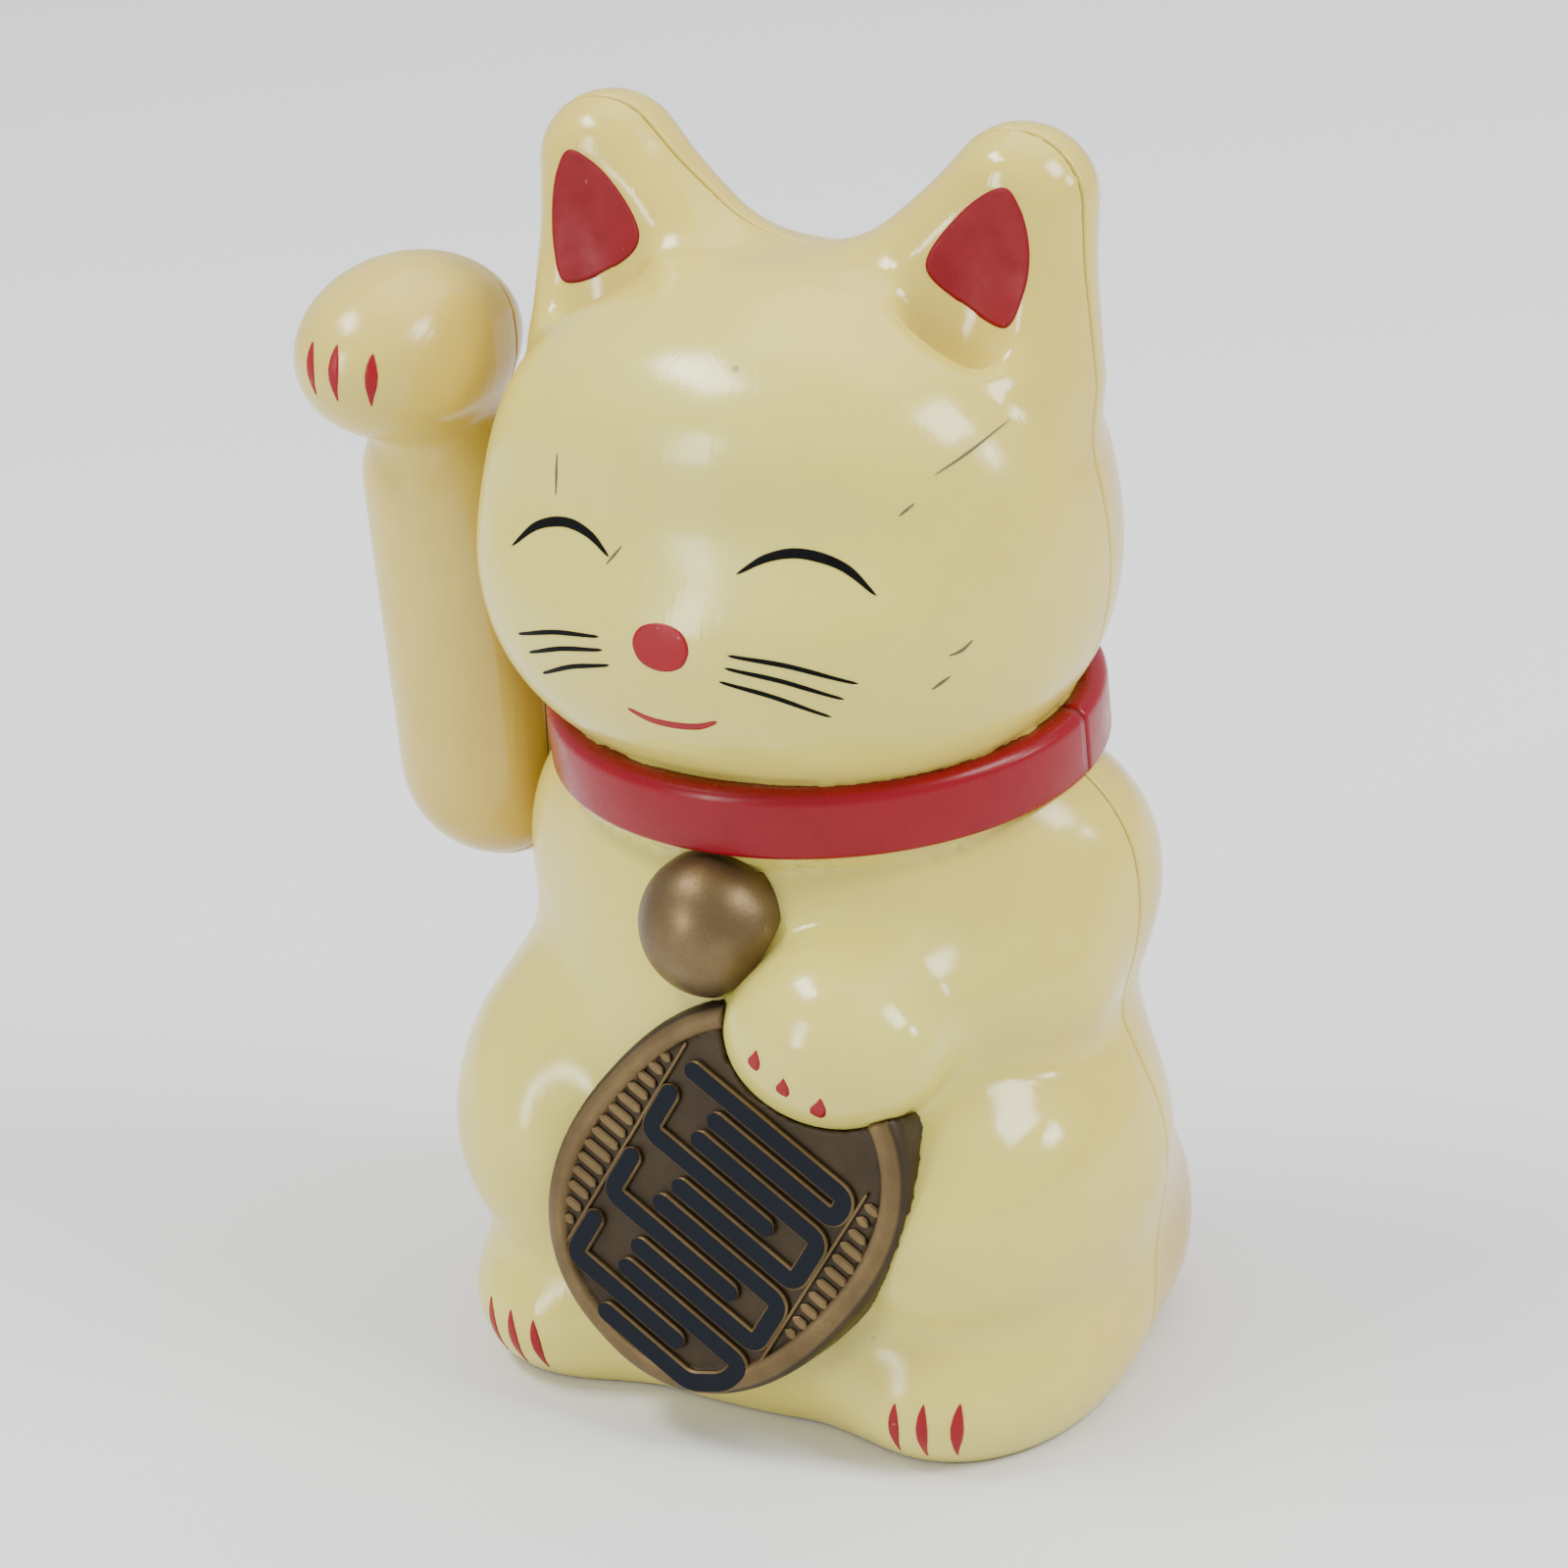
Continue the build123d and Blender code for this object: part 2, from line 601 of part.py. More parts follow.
# ================================================================ bearing frame
with BuildPart() as mechanism_frame:
    with BuildSketch(Plane.XZ.offset(-12)):
        with Locations((-19.5, 64.75)):
            Rectangle(24, 8.5)
    extrude(amount=-2)
    for cheek_x in (-31.5, -9.5):
        with BuildSketch(Plane.YZ.offset(cheek_x)):
            with Locations((PIVOT_Y, PIVOT_Z)):
                Circle(4.5)
            with Locations((10, 64.75)):
                Rectangle(8, 8.5)
        extrude(amount=2)
        with BuildSketch(Plane.YZ.offset(cheek_x)):
            with Locations((PIVOT_Y, PIVOT_Z)):
                Circle(2.5)
        extrude(amount=2, mode=Mode.SUBTRACT)
    with BuildSketch(Plane.XZ.offset(-12)):
        with Locations((-26, PIVOT_Z), (-12, PIVOT_Z)):
            Circle(1.2)
    extrude(amount=-2, mode=Mode.SUBTRACT)

with BuildPart() as frame_screws:
    with BuildSketch(Plane.XZ.offset(-12)):
        with Locations((-26, PIVOT_Z), (-12, PIVOT_Z)):
            Circle(1.8)
    extrude(amount=1.2)
    with BuildSketch(Plane.XZ.offset(-12)):
        with Locations((-26, PIVOT_Z), (-12, PIVOT_Z)):
            Circle(1.0)
    extrude(amount=-6)


def bush(start_x):
    with BuildPart() as ring:
        with BuildSketch(Plane.YZ.offset(start_x)):
            with Locations((PIVOT_Y, PIVOT_Z)):
                Circle(2.5)
                Circle(SHAFT_R + RUNNING_GAP, mode=Mode.SUBTRACT)
        extrude(amount=2.4)
    return ring


outer_bearing = bush(-31.7)
inner_bearing = bush(-9.7)

# ================================================================ beckoning arm
arm_outer = skin_solid(arm_skin, 0, dome_heights(52.3, 132.7, 25),
                       lambda z: (-50.5, PIVOT_Y - 13 * max(0, (z - 65) / 68)))
arm_inner = skin_solid(arm_skin, -ARM_WALL, dome_heights(54.3, 130.8, 23),
                       lambda z: (-50.5, PIVOT_Y - 13 * max(0, (z - 65) / 68)))
HUB_R = 4.5
with BuildPart() as arm_shell:
    add(arm_outer)
    add(arm_inner, mode=Mode.SUBTRACT)
    with BuildSketch(Plane.YZ.offset(ARM_FACE_X - 3)):
        with Locations((PIVOT_Y, PIVOT_Z)):
            Circle(HUB_R)
    extrude(amount=5, mode=Mode.SUBTRACT)

with BuildPart() as arm_front_half:
    add(arm_shell.part)
    split(bisect_by=Plane.XZ.offset(-ARM_SPLIT_Y), keep=Keep.TOP)

with BuildPart() as arm_rear_half:
    add(arm_shell.part)
    split(bisect_by=Plane.XZ.offset(-ARM_SPLIT_Y), keep=Keep.BOTTOM)

with BuildPart() as arm_hub:
    with BuildSketch(Plane.YZ.offset(ARM_FACE_X)):
        with Locations((PIVOT_Y, PIVOT_Z)):
            Circle(HUB_R)
    extrude(amount=-12)
    with BuildSketch(Plane.YZ.offset(ARM_FACE_X - 3)):
        with Locations((PIVOT_Y, PIVOT_Z)):
            Circle(6)
    extrude(amount=-1.5)
    with BuildSketch(Plane.YZ.offset(ARM_FACE_X)):
        with Locations((PIVOT_Y, PIVOT_Z)):
            Circle(SHAFT_R)
    extrude(amount=-14, mode=Mode.SUBTRACT)

with BuildPart() as pivot_shaft:
    with BuildSketch(Plane.YZ.offset(SHAFT_LEFT)):
        with Locations((PIVOT_Y, PIVOT_Z)):
            Circle(SHAFT_R)
    extrude(amount=SHAFT_RIGHT - SHAFT_LEFT)
    chamfer(pivot_shaft.edges().filter_by(GeomType.CIRCLE), 0.2)

with BuildPart() as shoulder_washer:
    with BuildSketch(Plane.YZ.offset(ARM_FACE_X)):
        with Locations((PIVOT_Y, PIVOT_Z)):
            Circle(4)
            Circle(SHAFT_R, mode=Mode.SUBTRACT)
    extrude(amount=0.5)

with BuildPart() as shaft_clip:
    with BuildSketch(Plane.YZ.offset(-7.0)):
        with Locations((PIVOT_Y, PIVOT_Z)):
            Circle(2.9)
            Circle(SHAFT_R, mode=Mode.SUBTRACT)
        with Locations((PIVOT_Y + 2.5, PIVOT_Z)):
            Rectangle(3, 1.2, mode=Mode.SUBTRACT)
    extrude(amount=0.6)

FOOT_Z = MAGNET_Z + MAGNET_H
with BuildPart() as pendulum:
    with BuildSketch(Plane.YZ.offset(BAR_X - BAR_T / 2)):
        with Locations((PIVOT_Y, (PIVOT_Z + FOOT_Z) / 2)):
            Rectangle(8, PIVOT_Z - FOOT_Z)
        with Locations((PIVOT_Y, PIVOT_Z)):
            Circle(4.5)
    extrude(amount=BAR_T)
    with BuildSketch(Plane.YZ.offset(BAR_X + BAR_T / 2)):
        with Locations((PIVOT_Y, PIVOT_Z)):
            Circle(3.5)
    extrude(amount=5)
    with BuildSketch(Plane.XY.offset(FOOT_Z)):
        with Locations((COIL_X, PIVOT_Y)):
            Circle(MAGNET_R)
    extrude(amount=1.6)
    with BuildSketch(Plane.YZ.offset(BAR_X - BAR_T)):
        with Locations((PIVOT_Y, PIVOT_Z)):
            Circle(SHAFT_R)
    extrude(amount=10, mode=Mode.SUBTRACT)
    with BuildSketch(Plane.YZ.offset(BAR_X - BAR_T)):
        with Locations((PIVOT_Y, PIVOT_Z - WEIGHT_DROP)):
            Circle(2)
    extrude(amount=4, mode=Mode.SUBTRACT)

with BuildPart() as pendulum_weight:
    with BuildSketch(Plane.YZ.offset(BAR_X + BAR_T / 2)):
        with Locations((WEIGHT_Y, PIVOT_Z - WEIGHT_DROP)):
            Circle(WEIGHT_R)
    extrude(amount=WEIGHT_T)
    chamfer(pendulum_weight.edges().filter_by(GeomType.CIRCLE), 0.6)
    with BuildSketch(Plane.YZ.offset(BAR_X - BAR_T / 2)):
        with Locations((PIVOT_Y, PIVOT_Z - WEIGHT_DROP)):
            Circle(2)
    extrude(amount=BAR_T)

with BuildPart() as pendulum_magnet:
    with BuildSketch(Plane.XY.offset(MAGNET_Z)):
        with Locations((COIL_X, PIVOT_Y)):
            Circle(MAGNET_R)
    extrude(amount=MAGNET_H)

# ================================================================ write the pieces
PIECES = {
    "front_shell": front_shell,
    "rear_shell": rear_shell,
    "collar_front": collar_front,
    "collar_rear": collar_rear,
    "bell": bell,
    "koban": koban,
    "base_plate": base_plate,
    "base_screws": base_screws,
    "battery_door": battery_door,
    "battery": battery,
    "battery_spring": battery_spring,
    "positive_contact": positive_contact,
    "negative_contact": negative_contact,
    "battery_lead": battery_lead,
    "switch_body": switch_body,
    "switch_slider": switch_slider,
    "switch_lead": switch_lead,
    "circuit_board": circuit_board,
    "board_screws": board_screws,
    "coil_bobbin": coil_bobbin,
    "coil_winding": coil_winding,
    "coil_core": coil_core,
    "transistor": transistor,
    "capacitor": capacitor,
    "mechanism_frame": mechanism_frame,
    "frame_screws": frame_screws,
    "outer_bearing": outer_bearing,
    "inner_bearing": inner_bearing,
    "arm_front_half": arm_front_half,
    "arm_rear_half": arm_rear_half,
    "arm_hub": arm_hub,
    "pivot_shaft": pivot_shaft,
    "shoulder_washer": shoulder_washer,
    "shaft_clip": shaft_clip,
    "pendulum": pendulum,
    "pendulum_weight": pendulum_weight,
    "pendulum_magnet": pendulum_magnet,
}
for piece_name, piece in PIECES.items():
    finish(piece, piece_name)
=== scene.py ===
"""Looks of the beckoning cat figurine: shells, paint, coin relief, materials, light and camera.

The skin formulas below are the casing's own, in millimetres. Meshes are made in millimetres
and scaled to metres when they become Blender objects.
"""
import json
from math import cos, pi, radians, sin, tan

import bmesh
import bpy
import numpy as np
from mathutils import Matrix, Vector


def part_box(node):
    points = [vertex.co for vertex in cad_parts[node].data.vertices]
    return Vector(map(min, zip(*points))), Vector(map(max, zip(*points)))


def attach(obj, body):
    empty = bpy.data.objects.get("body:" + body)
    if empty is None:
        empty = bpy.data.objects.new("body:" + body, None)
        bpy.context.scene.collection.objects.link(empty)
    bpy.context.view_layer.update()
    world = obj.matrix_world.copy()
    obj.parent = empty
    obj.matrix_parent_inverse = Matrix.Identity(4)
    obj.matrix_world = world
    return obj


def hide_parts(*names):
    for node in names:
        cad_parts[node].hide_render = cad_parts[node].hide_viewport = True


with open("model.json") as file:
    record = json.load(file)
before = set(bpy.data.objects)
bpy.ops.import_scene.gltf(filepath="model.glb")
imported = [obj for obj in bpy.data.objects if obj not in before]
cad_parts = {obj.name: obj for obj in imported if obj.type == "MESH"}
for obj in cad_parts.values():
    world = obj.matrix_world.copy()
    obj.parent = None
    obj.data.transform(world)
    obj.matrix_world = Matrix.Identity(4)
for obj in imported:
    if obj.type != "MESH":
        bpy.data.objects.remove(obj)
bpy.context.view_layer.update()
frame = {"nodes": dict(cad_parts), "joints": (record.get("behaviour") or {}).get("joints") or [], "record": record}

MM = 0.001
COLLECTION = bpy.context.scene.collection
JOINT = [j for j in frame["joints"] if j["name"] == "arm_swing"][0]
PIVOT_Y, PIVOT_Z = JOINT["pos_m"][1] / MM, JOINT["pos_m"][2] / MM
ARM_FACE_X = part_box("arm_front_half")[1].x / MM
ARM_SPLIT_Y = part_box("arm_front_half")[1].y / MM
FLANK_X = ARM_FACE_X + 0.8
WALL, ARM_WALL = 2.2, 1.8

TILT = radians(6.5)
NECK_Y, NECK_RX, NECK_RY, COLLAR_PROUD, COLLAR_HEIGHT = 0.2, 32.0, 29.2, 2.2, 8.5
COLLAR_FOOT = np.array([0, NECK_Y, 73.0 + tan(TILT) * (NECK_RY + COLLAR_PROUD)])
COLLAR_UP = np.array([0, -sin(TILT), cos(TILT)])
COLLAR_BACK = np.array([0, cos(TILT), sin(TILT)])

COIN_CENTRE = np.array([3.7, -38.0, 32.5])
COIN_LONG, COIN_SHORT, COIN_POWER = 26.2, 20.6, 2.3
COIN_T, COIN_RECESS = 7.0, 0.8
DARK_BELOW, PALE_ABOVE = 0.75, 0.45      # depths under the coin's rim: the recesses are painted dark below the first and left plain above the second
LEAN, TURN, RELIEF_TURN = radians(7.5), radians(-40), radians(10)
COIN_N = np.array([0, -cos(LEAN), sin(LEAN)])
COIN_X = np.array([cos(TURN), sin(TURN) * sin(LEAN), sin(TURN) * cos(LEAN)])
COIN_Y = np.cross(COIN_N, COIN_X)


# ---------------------------------------------------------------- distance formulas
def egg(p, centre, radii, power=2.0, turn=None):
    """Distance to an ellipsoid, or to a squarer one when power is over 2."""
    q = p - np.array(centre, float)
    if turn is not None:
        q = q @ turn
    r = np.array(radii, float)
    q = np.abs(q / r)
    s = np.maximum((q**power).sum(-1) ** (1 / power), 1e-6)
    slope = np.sqrt((((q ** (power - 1)) / r) ** 2).sum(-1))
    return (s - 1) / np.maximum(slope * s ** (1 - power), 1e-6)


def limb(p, start, end, r_start, r_end):
    """Distance to a tapered limb with round ends."""
    start, end = np.array(start, float), np.array(end, float)
    along = end - start
    t = np.clip((p - start) @ along / (along @ along), 0, 1)
    gap = np.sqrt(((p - start - t[..., None] * along) ** 2).sum(-1))
    return gap - (r_start + (r_end - r_start) * t)


def blend(a, b, k):
    """Union of two distances with a fillet about k wide."""
    h = np.clip(0.5 + 0.5 * (b - a) / k, 0, 1)
    return b * (1 - h) + a * h - k * h * (1 - h)


def trim(a, b, k):
    """Common part of two distances with its edge rounded by k."""
    return -blend(-a, -b, k)


def mirrored(p):
    q = p.copy()
    q[..., 0] = np.abs(q[..., 0])
    return q


EAR_DISH_TURN = np.array(Matrix.Rotation(radians(16), 3, "Y") @ Matrix.Rotation(radians(-6), 3, "X"))


def head_skin(p):
    q = mirrored(p)
    face = np.clip((-5 - q[..., 1]) / 25, 0, 1) * np.exp(-((q[..., 0] / 32) ** 4))
    brow = np.exp(-(((q[..., 2] - 112) / 8) ** 2))                # set back above the muzzle
    q[..., 1] -= face * (1.8 + 3.4 * brow)
    d = blend(egg(q, (0, -5, 109), (36.6, 33, 28.5), 2.2),
              egg(q, (0, -6, 99), (36.2, 32.5, 24), 2.15), 8)
    ear = blend(limb(q, (25.5, 0, 126), (28.3, 2, 144.5), 11, 6.6),
                limb(q, (10, 0, 128.5), (25.3, 2, 144.8), 9.2, 6.6), 7)
    d = blend(d, ear, 5)
    dish = egg(q, (24.6, -9.2, 136.5), (6.4, 3.4, 11.5), 2.0, EAR_DISH_TURN)
    return trim(d, -dish, 3.5)


def body_skin(p):
    q = mirrored(p)
    d = egg(q, (0, 0, 54), (36.8, 31, 37))                        # chest
    d = blend(d, egg(q, (0, -1, 32), (34, 33, 34), 2.2), 10)      # belly
    haunches = np.where(p[..., 0] < 0, egg(q, (25, -8.5, 30.5), (19.5, 28, 23)),
                        egg(q, (25, -8.5, 29.5), (19.5, 28, 21)))
    d = blend(d, haunches, 6)
    d = blend(d, egg(q, (25, -13, 8), (17, 23, 13)), 5)           # hind feet
    d = blend(d, egg(q, (0, 2, 13), (41, 35.5, 22), 2.4), 6)      # seat
    d = blend(d, egg(q, (25, 2, 62), (15.5, 18, 17)), 5)          # shoulders
    arm = blend(limb(p, (24, 0, 64), (26, -8, 55), 15.5, 13.2),   # left upper arm and forearm
                limb(p, (26, -8, 55), (15.5, -26, 53.5), 13.2, 11.5), 4)
    arm = blend(arm, egg(p, (16.5, -31.5, 53), (13.5, 9.5, 10)), 4)    # left paw
    d = blend(d, arm, 2.5)
    flank = np.maximum(np.hypot(p[..., 1] - PIVOT_Y, p[..., 2] - PIVOT_Z) - 22,
                       p[..., 0] - FLANK_X)
    return trim(d, -flank, 2)


def neck_skin(p):
    """Tilted oval drum behind the collar."""
    rel = p - COLLAR_FOOT
    y, z = rel @ COLLAR_BACK, rel @ COLLAR_UP
    side = (np.hypot(p[..., 0] / NECK_RX, y / NECK_RY) - 1) * NECK_RY
    return np.maximum(side, np.abs(z - 3.0) - 5.0)


def casing_skin(p):
    d = np.minimum(np.maximum(body_skin(p), p[..., 2] - 88), head_skin(p))
    return np.minimum(d, neck_skin(p))


def arm_skin(p):
    d = limb(p, (-51, PIVOT_Y, PIVOT_Z), (-51.5, 0, 104), 13, 11)
    d = blend(d, egg(p, (-51.5, -7, 122), (12.5, 16.5, 11)), 6)
    return trim(d, p[..., 0] - ARM_FACE_X, 3)


# ---------------------------------------------------------------- meshes from formulas
def surface_net(field, low, high, step):
    """Closed quad mesh of the surface where field is zero, on a grid of the given step."""
    low, high = np.array(low, float), np.array(high, float)
    counts = np.ceil((high - low) / step).astype(int) + 1
    axes = [low[i] + step * np.arange(counts[i]) for i in range(3)]
    values = np.stack([field(np.stack(np.meshgrid([x], axes[1], axes[2], indexing="ij"), -1))[0]
                       for x in axes[0]])
    inside = values < 0
    nx, ny, nz = values.shape
    total = np.zeros((nx - 1, ny - 1, nz - 1, 3))
    hits = np.zeros((nx - 1, ny - 1, nz - 1))
    for corner in np.ndindex(2, 2, 2):
        for axis in range(3):
            if corner[axis]:
                continue
            other = list(corner)
            other[axis] = 1
            a = values[tuple(slice(c, n - 1 + c) for c, n in zip(corner, (nx, ny, nz)))]
            b = values[tuple(slice(c, n - 1 + c) for c, n in zip(other, (nx, ny, nz)))]
            cross = (a < 0) != (b < 0)
            point = np.zeros(total.shape) + np.array(corner, float)
            point[..., axis] = np.where(cross, a / np.where(cross, a - b, 1), 0)
            total += point * cross[..., None]
            hits += cross
    active = hits > 0
    index = -np.ones(hits.shape, int)
    index[active] = np.arange(active.sum())
    points = low + step * (np.argwhere(active) + total[active] / hits[active][:, None])
    quads = []
    for axis in range(3):
        e1, e2 = (axis + 1) % 3, (axis + 2) % 3
        first = inside[tuple(slice(0, -1) if q == axis else slice(1, -1) for q in range(3))]
        second = inside[tuple(slice(1, None) if q == axis else slice(1, -1) for q in range(3))]
        change = first != second
        base = np.argwhere(change)
        base[:, e1] += 1
        base[:, e2] += 1
        ring = []
        for d1, d2 in ((1, 1), (0, 1), (0, 0), (1, 0)):
            cell = base.copy()
            cell[:, e1] -= d1
            cell[:, e2] -= d2
            ring.append(index[cell[:, 0], cell[:, 1], cell[:, 2]])
        faces = np.stack(ring, 1)
        backward = ~first[change]
        faces[backward] = faces[backward][:, ::-1]
        quads.append(faces)
    return points, np.concatenate(quads)


def gradient(field, points, h=0.05):
    steps = np.eye(3) * h
    return np.stack([(field(points + s) - field(points - s)) / (2 * h) for s in steps], -1)


def settle(field, points, rounds=3):
    """Move points onto the zero surface along the field's slope."""
    for _ in range(rounds):
        g = gradient(field, points)
        points = points - (field(points) / np.maximum((g**2).sum(-1), 0.05))[:, None] * g
    return points


def normals_at(field, points):
    g = gradient(field, points)
    return g / np.linalg.norm(g, axis=-1, keepdims=True)


def make_object(name, points, faces, smooth=True):
    mesh = bpy.data.meshes.new(name)
    mesh.from_pydata((np.asarray(points) * MM).tolist(), [], [list(map(int, f)) for f in faces])
    mesh.polygons.foreach_set("use_smooth", [smooth] * len(mesh.polygons))
    mesh.update()
    piece = bpy.data.objects.new(name, mesh)
    COLLECTION.objects.link(piece)
    return piece


def apply_modifiers(piece):
    """Bake the piece's modifiers into its mesh."""
    graph = bpy.context.evaluated_depsgraph_get()
    mesh = bpy.data.meshes.new_from_object(piece.evaluated_get(graph))
    piece.modifiers.clear()
    piece.data = mesh


def cut(bm, normal, offset, clear=False):
    """Cut along a plane across Y or Z. With clear, drop what lies past it."""
    geometry = bm.verts[:] + bm.edges[:] + bm.faces[:]
    normal = Vector(normal)
    bmesh.ops.bisect_plane(bm, geom=geometry, plane_co=normal * offset, plane_no=normal,
                           dist=1e-7, clear_outer=clear)


def shell(name, points, quads, split_y, side, wall, lip, foot_z=None):
    """Half of a hollow moulding: side -1 is the front half. lip is the depth of the parting groove."""
    piece = make_object(name, points, quads)
    bm = bmesh.new()
    bm.from_mesh(piece.data)
    plane = split_y * MM * side
    cut(bm, (0, -side, 0), -plane, clear=True)
    cut(bm, (0, -side, 0), -plane - 0.4 * MM)
    if foot_z is not None:
        cut(bm, (0, 0, -1), -foot_z * MM, clear=True)
        cut(bm, (0, 0, -1), -(foot_z + 0.6) * MM)
    bmesh.ops.remove_doubles(bm, verts=bm.verts[:], dist=2e-6)
    bm.normal_update()
    for v in bm.verts:
        inset = 0.0
        if abs(v.co.y - split_y * MM) < 1e-6:
            inset = lip
            v.co.y += side * 0.04 * MM
        elif foot_z is not None and abs(v.co.z - foot_z * MM) < 1e-6:
            inset = 0.35
        v.co -= v.normal * inset * MM * Vector((1, 0, 1 if inset == lip else 0)).length / 1.42
    bm.to_mesh(piece.data)
    bm.free()
    thick = piece.modifiers.new("wall", "SOLIDIFY")
    thick.thickness = wall * MM
    thick.offset = -1
    thick.use_even_offset = False
    apply_modifiers(piece)
    piece.data.polygons.foreach_set("use_smooth", [True] * len(piece.data.polygons))
    return piece


def sweep_profile(name, ring, closed=False):
    """Skin a stack of closed profiles: ring is stations x profile points x 3."""
    stations, count = ring.shape[:2]
    points = ring.reshape(-1, 3)
    faces = []
    for i in range(stations if closed else stations - 1):
        for j in range(count):
            a, b = i * count + j, i * count + (j + 1) % count
            c, d = ((i + 1) % stations) * count + (j + 1) % count, ((i + 1) % stations) * count + j
            faces.append((a, b, c, d))
    if not closed:
        faces.append(tuple(range(count))[::-1])
        faces.append(tuple((stations - 1) * count + j for j in range(count)))
    piece = make_object(name, points, faces)
    return outward(piece)


def outward(piece):
    """Turn all faces outwards."""
    bm = bmesh.new()
    bm.from_mesh(piece.data)
    bmesh.ops.recalc_face_normals(bm, faces=bm.faces[:])
    bm.to_mesh(piece.data)
    bm.free()
    return piece


# ---------------------------------------------------------------- painted marks
def onto(field, points, direction=(0, 1, 0), start=-70.0, reach=110.0):
    """First points of the surface met along direction, from far outside."""
    direction = np.array(direction, float)
    origin = points - direction * ((points @ direction) - start)[:, None]
    travel = np.zeros(len(points))
    done = np.zeros(len(points), bool)
    while not done.all() and travel.max() < reach:
        d = field(origin + travel[:, None] * direction)
        done |= d < 0.02
        travel = np.where(done, travel, travel + np.clip(d * 0.7, 0.01, 4.0))
    return settle(field, origin + travel[:, None] * direction, 2)


def paint_patch(name, field, flat, rows, cols, wrap, body, material, film=0.07):
    """Thin closed film of paint on a surface. flat: rows x cols points seen from the front."""
    top = onto(field, flat.reshape(-1, 3))
    normal = normals_at(field, top)
    points = np.concatenate([top + normal * film, top - normal * film])
    n = rows * cols
    faces = []
    for i in range(rows - 1):
        for j in range(cols if wrap else cols - 1):
            a, b = i * cols + j, i * cols + (j + 1) % cols
            c, d = (i + 1) * cols + (j + 1) % cols, (i + 1) * cols + j
            faces += [(a, b, c, d), (n + d, n + c, n + b, n + a)]
    if wrap:
        rim = [(rows - 1) * cols + j for j in range(cols)]
        hub = [j for j in range(cols)]
        faces += [tuple(hub[::-1]), tuple(n + j for j in hub)]
    else:
        rim = ([j for j in range(cols)] + [i * cols + cols - 1 for i in range(1, rows)]
               + [(rows - 1) * cols + j for j in range(cols - 2, -1, -1)]
               + [i * cols for i in range(rows - 2, 0, -1)])
    for a, b in zip(rim, rim[1:] + rim[:1]):
        faces.append((a, b, n + b, n + a))
    piece = outward(make_object(name, points, faces))
    dress(piece, material, body)


def curve_through(points, count):
    """Smooth curve through three or more points, as a Catmull-Rom chain."""
    p = np.array(points, float)
    p = np.vstack([2 * p[0] - p[1], p, 2 * p[-1] - p[-2]])
    out = []
    for t in np.linspace(0, len(p) - 3 - 1e-9, count):
        i, u = int(t), t - int(t)
        a, b, c, d = p[i:i + 4]
        out.append(0.5 * (2 * b + (c - a) * u + (2 * a - 5 * b + 4 * c - d) * u**2
                          + (3 * b - a - 3 * c + d) * u**3))
    return np.array(out)


def closed_curve(points, count):
    p = np.array(points, float)
    n = len(p)
    out = []
    for t in np.arange(count) * n / count:
        i, u = int(t), t - int(t)
        a, b, c, d = (p[(i + k - 1) % n] for k in range(4))
        out.append(0.5 * (2 * b + (c - a) * u + (2 * a - 5 * b + 4 * c - d) * u**2
                          + (3 * b - a - 3 * c + d) * u**3))
    return np.array(out)


def stroke(name, field, line, widths, body, material, rows=28, cols=5):
    """Brush stroke. line: (x, z) points; widths: half widths along it, from end to end."""
    path = curve_through(line, rows)
    along = np.gradient(path, axis=0)
    across = np.stack([-along[:, 1], along[:, 0]], -1)
    across /= np.linalg.norm(across, axis=1, keepdims=True)
    t = np.linspace(0, 1, rows)
    half = np.interp(t, np.linspace(0, 1, len(widths)), widths)
    round_end = np.sqrt(np.clip(1 - (np.clip(np.abs(t - 0.5) - 0.44, 0, 0.06) / 0.06) ** 2, 0.02, 1))
    half = half * round_end
    grid = path[:, None, :] + across[:, None, :] * (np.linspace(-1, 1, cols)[None, :, None]
                                                   * half[:, None, None])
    flat = np.stack([grid[..., 0], np.zeros(grid.shape[:2]), grid[..., 1]], -1)
    paint_patch(name, field, flat, rows, cols, False, body, material)


def spot(name, field, rim, body, material, rings=7, cols=48):
    """Filled spot. rim: (x, z) points round it."""
    edge = closed_curve(rim, cols)
    centre = edge.mean(0)
    grid = np.stack([centre + (edge - centre) * r for r in np.linspace(0.08, 1, rings)])
    flat = np.stack([grid[..., 0], np.zeros(grid.shape[:2]), grid[..., 1]], -1)
    paint_patch(name, field, flat, rings, cols, True, body, material)


# ---------------------------------------------------------------- materials
def node(tree, kind, **settings):
    made = tree.nodes.new(kind)
    for key, value in settings.items():
        setattr(made, key, value)
    return made


def new_material(name, **principled):
    material = bpy.data.materials.new(name)
    material.use_nodes = True
    shader = material.node_tree.nodes["Principled BSDF"]
    for key, value in principled.items():
        shader.inputs[key.replace("_", " ")].default_value = value
    return material, material.node_tree, shader


def place(tree):
    """Point on the piece at rest, in metres, in the row frame."""
    return node(tree, "ShaderNodeTexCoord").outputs["Object"]


def noise(tree, vector, scale, detail=4.0, rough=0.55, stretch=None):
    if stretch is not None:
        mapping = node(tree, "ShaderNodeMapping")
        mapping.inputs["Scale"].default_value = stretch
        tree.links.new(vector, mapping.inputs["Vector"])
        vector = mapping.outputs["Vector"]
    made = node(tree, "ShaderNodeTexNoise")
    made.inputs["Scale"].default_value = scale
    made.inputs["Detail"].default_value = detail
    made.inputs["Roughness"].default_value = rough
    tree.links.new(vector, made.inputs["Vector"])
    return made.outputs["Fac"]


